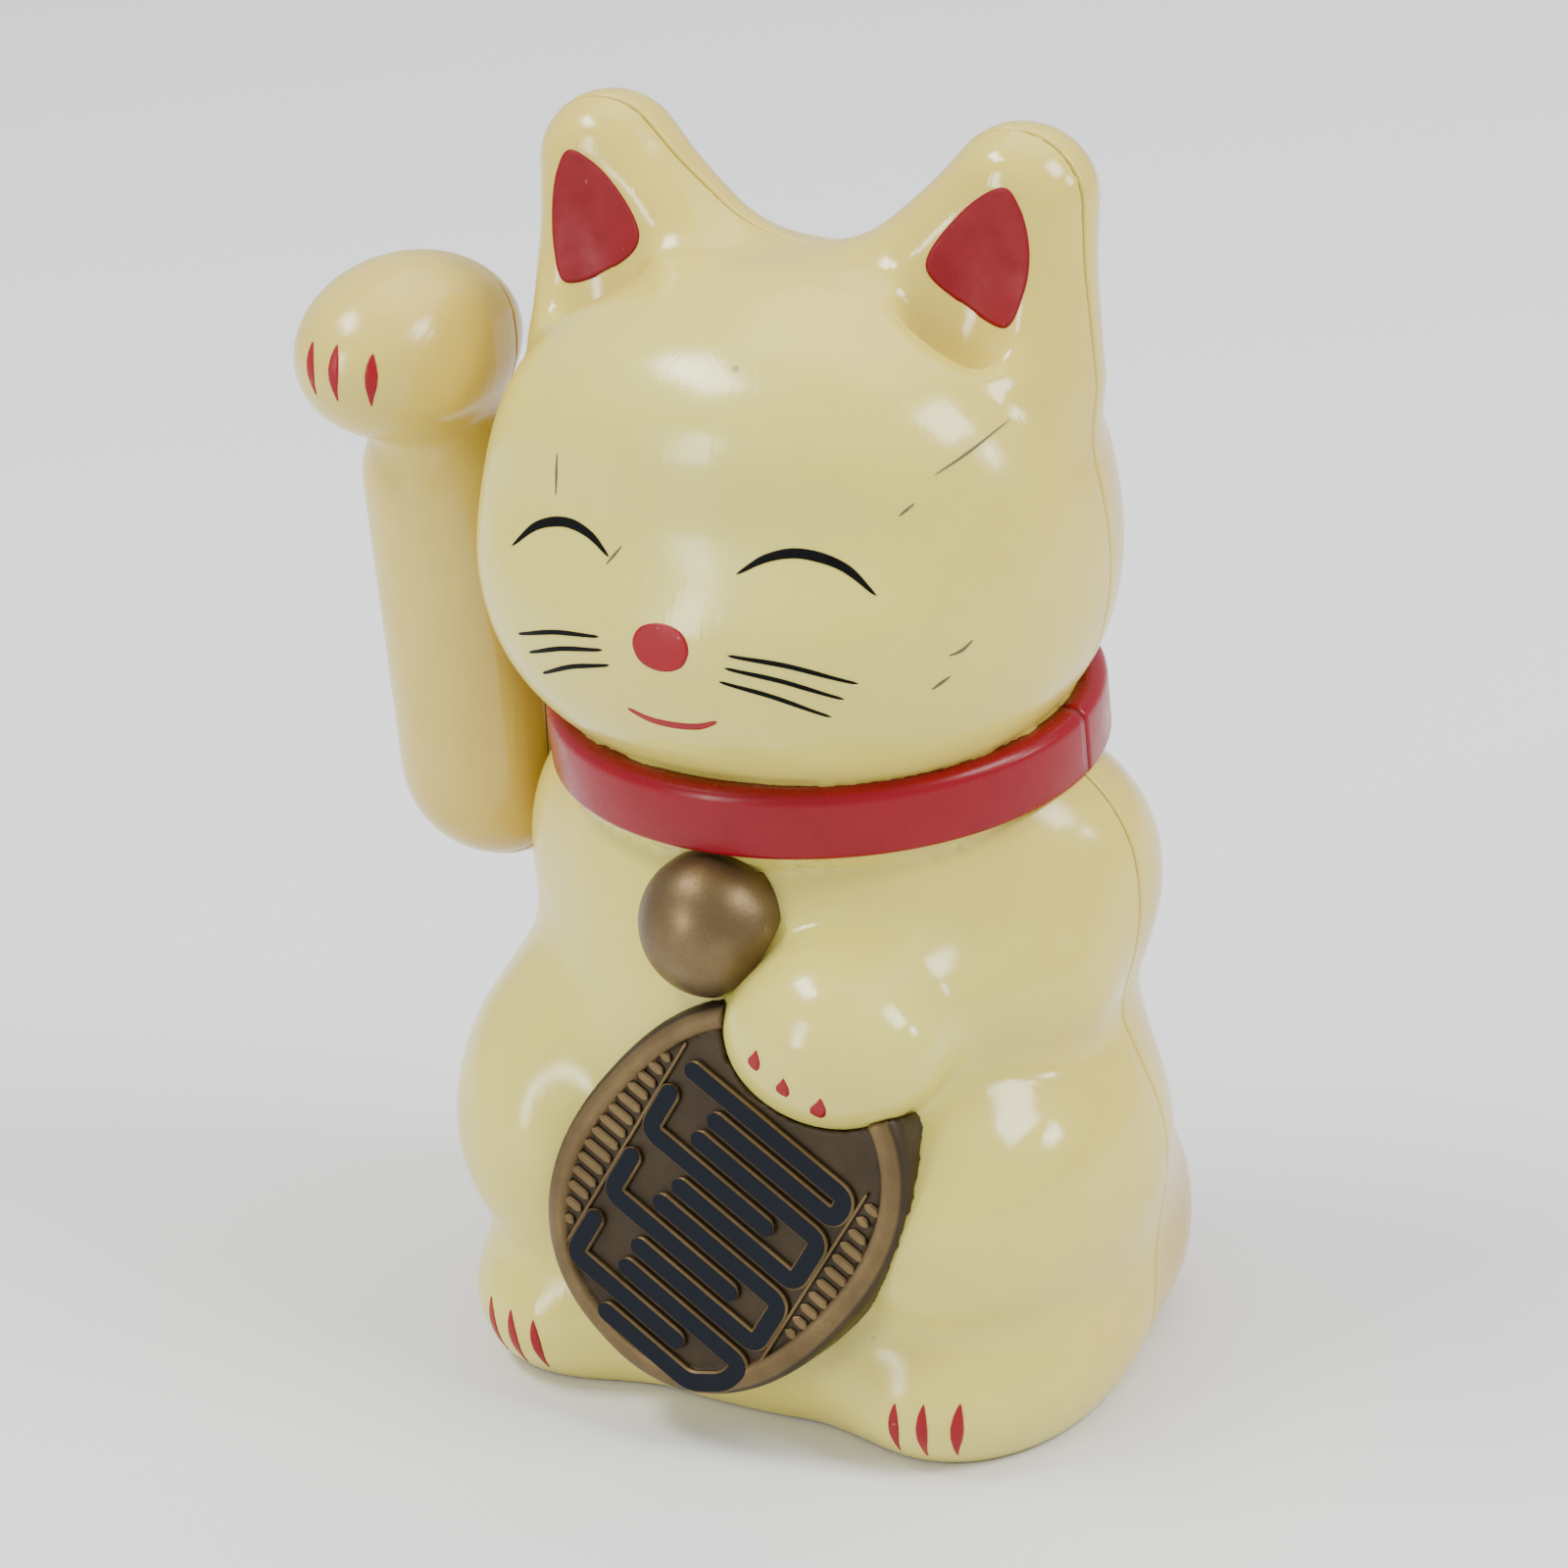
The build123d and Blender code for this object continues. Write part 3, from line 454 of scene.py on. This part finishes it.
def ramp(tree, value, stops, interpolation="LINEAR"):
    made = node(tree, "ShaderNodeValToRGB")
    made.color_ramp.interpolation = interpolation
    elements = made.color_ramp.elements
    while len(elements) < len(stops):
        elements.new(0.5)
    for element, (position, colour) in zip(elements, stops):
        element.position = position
        element.color = colour if len(colour) == 4 else (*colour, 1)
    tree.links.new(value, made.inputs["Fac"])
    return made.outputs["Color"]


def mix(tree, factor, a, b, mode="MIX"):
    made = node(tree, "ShaderNodeMix", data_type="RGBA", blend_type=mode)
    for socket, value in ((made.inputs["Factor"], factor), (made.inputs["A"], a), (made.inputs["B"], b)):
        if isinstance(value, (int, float, tuple)):
            socket.default_value = value if not isinstance(value, tuple) or len(value) == 4 \
                else (*value, 1)
        else:
            tree.links.new(value, socket)
    return made.outputs["Result"]


def remap(tree, value, low, high, to_low, to_high):
    made = node(tree, "ShaderNodeMapRange")
    made.inputs["From Min"].default_value = low
    made.inputs["From Max"].default_value = high
    made.inputs["To Min"].default_value = to_low
    made.inputs["To Max"].default_value = to_high
    tree.links.new(value, made.inputs["Value"])
    return made.outputs["Result"]


def bump(tree, shader, height, strength, distance):
    made = node(tree, "ShaderNodeBump")
    made.inputs["Strength"].default_value = strength
    made.inputs["Distance"].default_value = distance
    tree.links.new(height, made.inputs["Height"])
    tree.links.new(made.outputs["Normal"], shader.inputs["Normal"])
    return made


def aged_and_shaded_plastic(name, pale, yellow, brown):
    """Glossy ABS gone yellow: broad stains, painted shade that turns the back yellower and browner, fine grime
    specks, hairline scratches.
    """
    material, tree, shader = new_material(name, Roughness=0.2, IOR=1.5)
    shader.inputs["Subsurface Weight"].default_value = 0.12
    shader.inputs["Subsurface Radius"].default_value = (0.004, 0.0025, 0.001)
    shader.inputs["Subsurface Scale"].default_value = 0.6
    where = place(tree)
    split = node(tree, "ShaderNodeSeparateXYZ")
    tree.links.new(where, split.inputs["Vector"])
    # painted shade: a front-to-back ramp that makes the back of each piece yellower and browner
    rear = remap(tree, split.outputs["Y"], -0.030, 0.034, 0.0, 1.0)
    cloud = noise(tree, where, 22, 3, 0.5)
    add = node(tree, "ShaderNodeMath", operation="MULTIPLY_ADD")
    add.inputs[1].default_value = 0.6
    tree.links.new(cloud, add.inputs[0])
    tree.links.new(rear, add.inputs[2])
    stain_and_shade = ramp(tree, add.outputs["Value"], [(0.25, pale), (0.75, yellow), (1.0, brown)])
    fine = noise(tree, where, 160, 3, 0.6)
    stain_and_shade = mix(tree, remap(tree, fine, 0.45, 0.75, 0.0, 0.10), stain_and_shade, brown)
    specks = node(tree, "ShaderNodeTexVoronoi")
    specks.inputs["Scale"].default_value = 85
    tree.links.new(where, specks.inputs["Vector"])
    sparse = noise(tree, where, 37, 1, 0.5)
    speck = node(tree, "ShaderNodeMath", operation="MULTIPLY")
    tree.links.new(remap(tree, specks.outputs["Distance"], 0.05, 0.03, 0.0, 1.0), speck.inputs[0])
    tree.links.new(remap(tree, sparse, 0.60, 0.66, 0.0, 0.8), speck.inputs[1])
    stain_and_shade = mix(tree, speck.outputs["Value"], stain_and_shade, (0.16, 0.10, 0.04))
    tree.links.new(stain_and_shade, shader.inputs["Base Color"])
    scratch = noise(tree, where, 60, 2, 0.5, (9.0, 9.0, 0.8))
    wear = noise(tree, where, 30, 4, 0.6)
    rough = remap(tree, wear, 0.35, 0.75, 0.13, 0.30)
    tree.links.new(rough, shader.inputs["Roughness"])
    relief = mix(tree, 0.3, remap(tree, scratch, 0.55, 0.72, 0.0, 1.0), fine)
    bump(tree, shader, relief, 0.10, 0.0002)
    return material


def paint(name, colour, worn, roughness=0.3, chips=0.0, gloss=0.3):
    """Brushed or printed paint with slight pooling and wear."""
    material, tree, shader = new_material(name, Roughness=roughness, IOR=1.45)
    shader.inputs["Specular IOR Level"].default_value = gloss
    where = place(tree)
    pool = noise(tree, where, 300, 3, 0.6)
    tone = mix(tree, remap(tree, pool, 0.35, 0.75, 0.0, 0.55), colour, worn)
    if chips:
        chip = noise(tree, where, 900, 2, 0.7)
        tone = mix(tree, remap(tree, chip, 0.70, 0.74, 0.0, chips), tone, (0.80, 0.70, 0.45))
    tree.links.new(tone, shader.inputs["Base Color"])
    tree.links.new(remap(tree, pool, 0.3, 0.8, roughness * 0.8, roughness * 1.4),
                   shader.inputs["Roughness"])
    bump(tree, shader, pool, 0.15, 0.0001)
    return material


def metallic_paint(name, light, dark, metal=0.75, roughness=0.38, grain=0.25, grooves=False):
    """Gold or bronze powder paint: fine flake, dark grime in broad patches, and with grooves set, the recesses
    painted near black below the rim level.
    """
    material, tree, shader = new_material(name, Metallic=metal, Roughness=roughness)
    where = place(tree)
    flake = noise(tree, where, 2600, 2, 0.7)
    patch = noise(tree, where, 120, 4, 0.6)
    tone = mix(tree, remap(tree, patch, 0.3, 0.7, 0.0, 0.8), light, dark)
    tone = mix(tree, remap(tree, flake, 0.35, 0.75, 0.0, 0.35), tone, dark)
    if grooves:
        # grooves: the coin is painted near black below its rim level, in its recesses
        height = node(tree, "ShaderNodeVectorMath", operation="DOT_PRODUCT")
        height.inputs[1].default_value = tuple(COIN_N)
        tree.links.new(where, height.inputs[0])
        level = float(COIN_CENTRE @ COIN_N) * MM
        groove_darkening = remap(tree, height.outputs["Value"], level - DARK_BELOW * MM, level - PALE_ABOVE * MM,
                     0.8, 0.0)
        tone = mix(tree, groove_darkening, tone, (0.012, 0.007, 0.003))
    tree.links.new(tone, shader.inputs["Base Color"])
    tree.links.new(remap(tree, patch, 0.3, 0.75, roughness, roughness + 0.16), shader.inputs["Roughness"])
    bump(tree, shader, flake, grain, 0.00008)
    return material


def moulded(name, colour, shade, roughness=0.45, metal=0.0, scale=200, strength=0.12):
    """Plain moulded or turned part with fine texture and handling marks."""
    material, tree, shader = new_material(name, Metallic=metal, Roughness=roughness)
    where = place(tree)
    grain = noise(tree, where, scale, 4, 0.6)
    tone = mix(tree, remap(tree, grain, 0.35, 0.7, 0.0, 0.7), colour, shade)
    tree.links.new(tone, shader.inputs["Base Color"])
    tree.links.new(remap(tree, grain, 0.3, 0.75, roughness * 0.8, min(1.0, roughness * 1.3)),
                   shader.inputs["Roughness"])
    bump(tree, shader, noise(tree, where, scale * 6, 3, 0.6), strength, 0.00006)
    return material


def dress(piece, material, body):
    piece.data.materials.clear()
    piece.data.materials.append(material)
    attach(piece, body)


M = {
    "cream_plastic": aged_and_shaded_plastic("aged_and_shaded_cream_plastic", (0.66, 0.58, 0.12), (0.66, 0.52, 0.09),
                                  (0.50, 0.31, 0.05)),
    # the arm's copy is darker and browner than the casing's: partly the arm's own yellowing, partly painted shade
    "arm_cream_plastic": aged_and_shaded_plastic("aged_and_shaded_cream_arm", (0.66, 0.56, 0.12), (0.60, 0.44, 0.08),
                                      (0.44, 0.26, 0.04)),
    "collar_red": paint("collar_red_plastic", (0.24, 0.002, 0.009), (0.19, 0.002, 0.009), 0.26),
    "bell_bronze": metallic_paint("bell_bronze_paint", (0.17, 0.115, 0.05), (0.085, 0.052, 0.02), 0.7, 0.36),
    "coin_gold": metallic_paint("coin_old_gold_paint", (0.17, 0.11, 0.042), (0.08, 0.05, 0.016), 0.6, 0.42),
    "base_cream": moulded("base_plate_plastic", (0.72, 0.63, 0.38), (0.64, 0.53, 0.28), 0.42),
    "dark_plastic": moulded("black_moulding", (0.03, 0.03, 0.032), (0.06, 0.06, 0.06), 0.5),
    "white_nylon": moulded("white_nylon", (0.72, 0.71, 0.66), (0.60, 0.58, 0.50), 0.45),
    "zinc_steel": moulded("zinc_plated_steel", (0.55, 0.56, 0.58), (0.38, 0.38, 0.40), 0.35, 1.0, 600),
    "weight_iron": moulded("dull_iron", (0.20, 0.20, 0.21), (0.12, 0.11, 0.10), 0.5, 0.8, 400),
    "copper_wire": moulded("enamelled_copper", (0.50, 0.18, 0.06), (0.30, 0.09, 0.03), 0.35, 0.9, 1500, 0.4),
    "board_green": moulded("board_green_lacquer", (0.03, 0.16, 0.06), (0.02, 0.10, 0.04), 0.35),
    "cell_wrap": moulded("cell_wrapper", (0.06, 0.10, 0.22), (0.04, 0.07, 0.15), 0.3, 0.2),
    "wire_red": moulded("red_wire_pvc", (0.55, 0.03, 0.03), (0.42, 0.02, 0.02), 0.45),
    "wire_black": moulded("black_wire_pvc", (0.03, 0.03, 0.03), (0.05, 0.05, 0.05), 0.45),
}
RED_PAINT = paint("brushed_red_paint", (0.28, 0.003, 0.010), (0.21, 0.003, 0.009), 0.36, 0.2)
EAR_RED = paint("ear_red_paint", (0.22, 0.002, 0.008), (0.16, 0.002, 0.008), 0.46, 0.1)
BLACK_INK = paint("printed_black_ink", (0.002, 0.002, 0.002), (0.006, 0.006, 0.006), 0.5, gloss=0.08)
NAVY_PAINT = paint("coin_navy_paint", (0.006, 0.008, 0.013), (0.011, 0.013, 0.018), 0.5, gloss=0.1)

for name, part in frame["nodes"].items():
    slot = [s["material_slot"] for s in frame["record"]["subparts"] if s["node"] == name][0]
    part.data.materials.clear()
    part.data.materials.append(M[slot])

COIN_RELIEF_GOLD = metallic_paint("coin_relief_paint", (0.17, 0.11, 0.042), (0.08, 0.05, 0.016), 0.6, 0.42,
                                  grooves=True)

# ---------------------------------------------------------------- camera
TARGET = Vector((-6.72, 0.12, 69.34)) * MM
AZIMUTH, ELEVATION, ROLL = radians(30), radians(21.5), radians(-2.8)
back = Vector((sin(AZIMUTH) * cos(ELEVATION), -cos(AZIMUTH) * cos(ELEVATION), sin(ELEVATION)))
right = Vector((cos(AZIMUTH), sin(AZIMUTH), 0))
up = back.cross(right)
turned_right = cos(ROLL) * right + sin(ROLL) * up
turned_up = -sin(ROLL) * right + cos(ROLL) * up
lens = bpy.data.cameras.new("camera")
lens.sensor_width = 36
lens.lens = 103.5
camera = bpy.data.objects.new("camera", lens)
COLLECTION.objects.link(camera)
rotation = Matrix((turned_right, turned_up, back)).transposed().to_4x4()
camera.matrix_world = Matrix.Translation(TARGET + back * 0.54585) @ rotation
lens.clip_start = 0.05
bpy.context.scene.camera = camera

# ---------------------------------------------------------------- casing and arm
STEP = 1.1
skin_points, skin_quads = surface_net(casing_skin, (-47, -46, -3.3), (47, 40, 155), STEP)
skin_points = settle(casing_skin, skin_points)
for side, half, in ((-1, "front_shell"), (1, "rear_shell")):
    piece = shell("cat_" + half, skin_points, skin_quads, 0.0, side, WALL, 0.22, foot_z=0.0)
    dress(piece, M["cream_plastic"], "casing")
    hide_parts(half)

arm_points, arm_quads = surface_net(arm_skin, (-67, -28, 48), (-37, 24, 137), STEP)
arm_points = settle(arm_skin, arm_points)
for side, half in ((-1, "arm_front_half"), (1, "arm_rear_half")):
    piece = shell("raised_" + half, arm_points, arm_quads, ARM_SPLIT_Y, side, ARM_WALL, 0.18)
    dress(piece, M["arm_cream_plastic"], "beckoning_arm")
    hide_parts(half)

# ---------------------------------------------------------------- painted marks
EYE = [(23.6, 107.2), (19.8, 110.2), (15.3, 111.5), (11.5, 110.9), (8.2, 109.0)]
EYE_HALF = (0.12, 0.42, 0.55, 0.55, 0.42, 0.12)
WHISKERS = [((8.3, 100.5), (15.2, 99.6), (22.1, 97.5)), ((7.9, 99.0), (14.3, 97.8), (20.5, 95.6)),
            ((7.1, 97.3), (13.1, 95.8), (18.8, 93.3))]
EAR_PATCH = [(27.7, 147.3), (22.6, 144.0), (18.6, 138.0), (22.9, 133.7), (28.5, 131.8), (30.5, 135.4),
             (31.0, 140.2), (30.0, 144.9)]
NOSE = [(0, 103.2), (-2.6, 102.5), (-3.6, 100.6), (-2.6, 98.5), (0, 97.7), (2.6, 98.5), (3.6, 100.6),
        (2.6, 102.5)]
MOUTH = [(-5.8, 91.9), (-3.2, 90.9), (0, 90.6), (3.2, 90.9), (5.8, 91.9)]
FOOT_CLAWS = [((24.8, 9.8), (24.5, 6.2), (24.2, 2.4)), ((28.3, 10.2), (28.0, 6.2), (27.6, 2.2)),
              ((32.2, 10.3), (31.8, 6.4), (31.0, 2.6))]
HELD_CLAWS = [((11.2, 54.4), (11.0, 53.2), (10.4, 52.0)), ((15.0, 51.9), (14.8, 50.7), (14.3, 49.5)),
              ((19.4, 50.0), (18.9, 48.5), (17.9, 47.0))]
RAISED_CLAWS = [((-55.1, 126.0), (-55.0, 122.9), (-54.5, 119.8)),
                ((-51.2, 126.2), (-51.3, 122.8), (-51.2, 119.5)),
                ((-46.8, 125.3), (-46.8, 122.1), (-47.3, 118.9))]
CLAW_HALF = (0.1, 0.5, 0.68, 0.6, 0.3, 0.06)
DROP_HALF = (0.06, 0.4, 0.75, 0.9, 0.62)

for side, hand in ((-1, "right"), (1, "left")):
    turned = lambda line: [(side * x, z) for x, z in line]
    stroke("eye_" + hand, head_skin, turned(EYE), EYE_HALF, "casing", BLACK_INK, 40)
    for i, line in enumerate(WHISKERS):
        stroke(f"whisker_{hand}_{i + 1}", head_skin, turned(line), (0.16, 0.28, 0.28, 0.16), "casing",
               BLACK_INK)
    spot("ear_patch_" + hand, head_skin, turned(EAR_PATCH), "casing", EAR_RED, 14, 64)
    for i, line in enumerate(FOOT_CLAWS):
        stroke(f"foot_claw_{hand}_{i + 1}", body_skin, turned(line), CLAW_HALF, "casing", RED_PAINT)
spot("nose", head_skin, NOSE, "casing", RED_PAINT, 8, 48)
stroke("mouth", head_skin, MOUTH, (0.2, 0.4, 0.44, 0.4, 0.2), "casing", RED_PAINT, 40)
for i, line in enumerate(HELD_CLAWS):
    stroke(f"held_claw_{i + 1}", body_skin, line, DROP_HALF, "casing", RED_PAINT)
for i, line in enumerate(RAISED_CLAWS):
    stroke(f"raised_claw_{i + 1}", arm_skin, line, CLAW_HALF, "beckoning_arm", RED_PAINT)

SCUFFS = [((27.9, 119.6), (30.2, 121.4), (31.9, 123.3)), ((25.1, 115.6), (26.5, 116.9)),
          ((30.4, 99.9), (31.4, 100.3), (32.3, 101.3)), ((28.6, 96.0), (30.3, 97.4)),
          ((-16.4, 119.2), (-16.9, 114.2)), ((-8.4, 108.2), (-6.6, 110.4))]
GRIME = paint("scuff_grime", (0.10, 0.085, 0.045), (0.19, 0.16, 0.08), 0.5)
for i, line in enumerate(SCUFFS):
    stroke(f"head_scuff_{i + 1}", head_skin, line, (0.05, 0.16, 0.05), "casing", GRIME,
           16, 3)

# ---------------------------------------------------------------- collar
def rounded_section(width, height, lower, upper, back):
    """Half-round band section as (outward, up) points."""
    points = [(-back, 0.1)]
    points += [(width - lower + lower * sin(a), lower - lower * cos(a) + 0.1)
               for a in np.linspace(0, pi / 2, 5)]
    points += [(width - upper + upper * cos(a), height - upper + upper * sin(a))
               for a in np.linspace(0, pi / 2, 7)]
    return np.array(points + [(-back, height)])


section = rounded_section(COLLAR_PROUD, COLLAR_HEIGHT, 0.7, 1.7, 0.8)
for side, half in ((-1, "collar_front"), (1, "collar_rear")):
    angles = np.linspace(0.003, pi - 0.003, 90) * side
    ring = np.stack([COLLAR_FOOT + cos(a) * (NECK_RX + section[:, :1]) * np.array([1, 0, 0])
                     + sin(a) * (NECK_RY + section[:, :1]) * COLLAR_BACK
                     + section[:, 1:] * COLLAR_UP for a in angles])
    piece = sweep_profile("band_" + half, ring)
    dress(piece, M["collar_red"], "casing")
    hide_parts(half)

# ---------------------------------------------------------------- coin
def coin_edge(x, y):
    """Distance inwards or outwards from the coin's outline."""
    a, b = np.abs(x / COIN_SHORT), np.abs(y / COIN_LONG)
    s = np.maximum((a**COIN_POWER + b**COIN_POWER) ** (1 / COIN_POWER), 1e-6)
    slope = np.hypot(a ** (COIN_POWER - 1) / COIN_SHORT, b ** (COIN_POWER - 1) / COIN_LONG)
    return (s - 1) / np.maximum(slope * s ** (1 - COIN_POWER), 1e-6)


def coin_plate(p):
    rel = p - COIN_CENTRE
    x, y, z = rel @ COIN_X, rel @ COIN_Y, rel @ COIN_N
    edge = coin_edge(x, y)
    d = trim(trim(edge, z, 2.6), -z - COIN_T, 0.5)
    d = trim(d, -np.maximum(edge + 3.2, -z - COIN_RECESS), 0.7)
    return np.maximum(d, 0.12 - body_skin(p))


coin_points, coin_quads = surface_net(coin_plate, (-23, -46, 5), (31, -22, 61), 0.5)
coin_points = settle(coin_plate, coin_points, 1)
plate = make_object("koban_plate", coin_points, coin_quads)
dress(plate, COIN_RELIEF_GOLD, "casing")
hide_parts("koban")


def relief_point(u, v, height):
    """From the relief's own axes, turned on the coin, to the row frame."""
    x = u * cos(RELIEF_TURN) - v * sin(RELIEF_TURN)
    y = u * sin(RELIEF_TURN) + v * cos(RELIEF_TURN)
    return (COIN_CENTRE + np.multiply.outer(x, COIN_X) + np.multiply.outer(y, COIN_Y)
            + np.multiply.outer(height, COIN_N))


def free_span(v, low, high, inset):
    """Part of a row of the relief that lies on the coin and clear of the paw."""
    u = np.arange(low, high + 0.01, 0.1)
    x = u * cos(RELIEF_TURN) - v * sin(RELIEF_TURN)
    y = u * sin(RELIEF_TURN) + v * cos(RELIEF_TURN)
    clear = body_skin(relief_point(u, np.full_like(u, v), np.zeros_like(u))) > 1.9
    u = u[(coin_edge(x, y) < -inset) & clear]
    return (u.min(), u.max()) if len(u) else None


def eased(path, radius):
    """Polyline with its corners rounded, evenly resampled."""
    path = [np.array(q, float) for q in path]
    points = [path[0]]
    for a, b, c in zip(path, path[1:], path[2:]):
        r = min(radius, 0.49 * np.linalg.norm(a - b), 0.49 * np.linalg.norm(c - b))
        start, end = b + (a - b) / np.linalg.norm(a - b) * r, b + (c - b) / np.linalg.norm(c - b) * r
        points += [(1 - t) ** 2 * start + 2 * t * (1 - t) * b + t**2 * end for t in np.linspace(0, 1, 9)]
    points.append(path[-1])
    points = np.array(points)
    walked = np.concatenate([[0], np.cumsum(np.linalg.norm(np.diff(points, axis=0), axis=1))])
    count = max(4, int(walked[-1] / 0.35))
    at = np.linspace(0, walked[-1], count)
    return np.stack([np.interp(at, walked, points[:, k]) for k in range(2)], -1), at


def ribbon(path, half, foot, top, bevel, radius=1.5):
    """Raised rib with rounded ends, as one closed shell."""
    line, at = eased(path, radius)
    along = np.gradient(line, axis=0)
    across = np.stack([-along[:, 1], along[:, 0]], -1)
    across /= np.linalg.norm(across, axis=1, keepdims=True)
    ends = np.minimum(at, at[-1] - at)
    width = half * np.sqrt(np.clip(1 - (1 - np.minimum(ends / half, 1)) ** 2, 0.06, 1))
    rows = []
    for q, n, w in zip(line, across, width):
        b = min(bevel, 0.6 * w)
        section = [(-w, foot), (-w, top - b), (-w + b, top), (w - b, top), (w, top - b), (w, foot)]
        rows.append(relief_point(np.array([q[0] + n[0] * a for a, _ in section]),
                                 np.array([q[1] + n[1] * a for a, _ in section]),
                                 np.array([h for _, h in section])))
    return np.array(rows)


def ribbons_mesh(name, all_rows):
    points, faces = [], []
    for rows in all_rows:
        base = sum(len(q) for q in points)
        n, m = rows.shape[:2]
        points.append(rows.reshape(-1, 3))
        for i in range(n - 1):
            for j in range(m):
                faces.append((base + i * m + j, base + i * m + (j + 1) % m,
                              base + (i + 1) * m + (j + 1) % m, base + (i + 1) * m + j))
        faces.append(tuple(base + j for j in range(m))[::-1])
        faces.append(tuple(base + (n - 1) * m + j for j in range(m)))
    return outward(make_object(name, np.concatenate(points), faces, smooth=False))


PITCH, FIRST_ROW, ROWS = 3.35, 11.6, 11
LEFT, RIGHT = -12.0, 12.8
rows_at = [FIRST_ROW - PITCH * i for i in range(ROWS)]
spans = [free_span(v, LEFT, RIGHT, 1.8) for v in rows_at]


def row_point(row, share):
    """Point on a row, at a share of the way along it."""
    low, high = spans[row]
    return (low + (high - low) * share, rows_at[row])


FRET = [
    [(0, 0.0), (0, 1.0), (1, 1.0), (1, 0.22)],
    [(1, 0.0), (2, 0.0), (3, 0.0), (3, 0.78)],
    [(2, 0.2), (2, 1.0), (3, 1.0), (4, 1.0), (4, 0.24)],
    [(4, 0.0), (5, 0.0), (6, 0.0), (6, 0.8)],
    [(5, 0.2), (5, 1.0), (6, 1.0), (7, 1.0), (7, 0.22)],
    [(7, 0.0), (8, 0.0), (9, 0.0), (9, 0.72)],
    [(8, 0.22), (8, 1.0), (9, 1.0), (10, 1.0), (10, 0.25)],
]
STROKE_HALF = 1.36
fret_paths = [[row_point(*stop) for stop in line] for line in FRET]
gold_rows = [ribbon(path, STROKE_HALF, -COIN_RECESS - 0.3, -0.02, 0.22) for path in fret_paths]
navy_rows = [ribbon(path, STROKE_HALF - 0.27, -0.06, 0.06, 0.03) for path in fret_paths]
for i in range(19):
    v = 12.4 - 2.0 * i
    for low, high in ((-22.0, LEFT - 2.0), (RIGHT + 2.0, 24.0)):
        span = free_span(v, low, high, 2.9)
        if span and span[1] - span[0] > 1.3:
            gold_rows.append(ribbon([(span[0], v), (span[1], v)], 0.66, -COIN_RECESS - 0.3, -0.3, 0.25))
for u in (LEFT - 1.5, RIGHT + 1.5):
    reach = [v for v in np.arange(-24, 14, 0.2) if free_span(v, u, u, 2.6)]
    if reach:
        gold_rows.append(ribbon([(u, min(reach)), (u, max(reach))], 0.2, -COIN_RECESS - 0.3, -0.25, 0.1))
for name, rows, material, slot in (("koban_relief", gold_rows, COIN_RELIEF_GOLD, "coin_gold"),
                                   ("koban_relief_paint", navy_rows, NAVY_PAINT, "dark_plastic")):
    dress(ribbons_mesh(name, rows), material, "casing")

# ---------------------------------------------------------------- floor and light
FLOOR_SIZE = 6
bpy.ops.mesh.primitive_plane_add(size=FLOOR_SIZE, location=(0, 0, 0))
floor = bpy.context.object
floor.name = "floor"
floor_paint, floor_tree, floor_shader = new_material("pale_floor", Roughness=0.55)
tone = noise(floor_tree, place(floor_tree), 3, 2, 0.5)
depth = node(floor_tree, "ShaderNodeSeparateXYZ")
floor_tree.links.new(place(floor_tree), depth.inputs["Vector"])
paper_and_painted_light = ramp(floor_tree, tone, [(0.3, (0.76, 0.76, 0.75)), (0.7, (0.80, 0.80, 0.79))])
# painted light: the floor grows brighter towards the back, up to near white 0.9 m away
paper_and_painted_light = mix(floor_tree, remap(floor_tree, depth.outputs["Y"], 0.0, 0.9, 0.0, 1.0), paper_and_painted_light,
            (0.93, 0.94, 0.94))
floor_tree.links.new(paper_and_painted_light, floor_shader.inputs["Base Color"])
floor.data.materials.append(floor_paint)

world = bpy.data.worlds.new("studio")
bpy.context.scene.world = world
world.use_nodes = True
world.node_tree.nodes["Background"].inputs["Color"].default_value = (0.86, 0.89, 0.95, 1)
world.node_tree.nodes["Background"].inputs["Strength"].default_value = 0.86


def soft_light(name, azimuth, elevation, distance, size, watts, colour=(1, 1, 1)):
    lamp = bpy.data.lights.new(name, "AREA")
    lamp.shape = "RECTANGLE"
    lamp.size, lamp.size_y = size
    lamp.energy = watts
    lamp.color = colour
    holder = bpy.data.objects.new(name, lamp)
    COLLECTION.objects.link(holder)
    a, e = radians(azimuth), radians(elevation)
    away = Vector((sin(a) * cos(e), -cos(a) * cos(e), sin(e)))
    holder.location = Vector((0, 0, 0.08)) + away * distance
    holder.rotation_euler = away.to_track_quat("Z", "Y").to_euler()


soft_light("window_high", -58, 58, 1.2, (0.46, 0.22), 10, (1, 0.99, 0.96))
soft_light("doorway", -24, 16, 1.3, (0.15, 0.66), 7, (1, 0.99, 0.96))
soft_light("window_right", 92, 46, 1.2, (0.42, 0.42), 11, (0.98, 0.99, 1))
soft_light("window_right_low", 104, 24, 1.3, (0.2, 0.2), 3, (0.98, 0.99, 1))
soft_light("overhead", 180, 72, 1.6, (1.4, 1.4), 12)
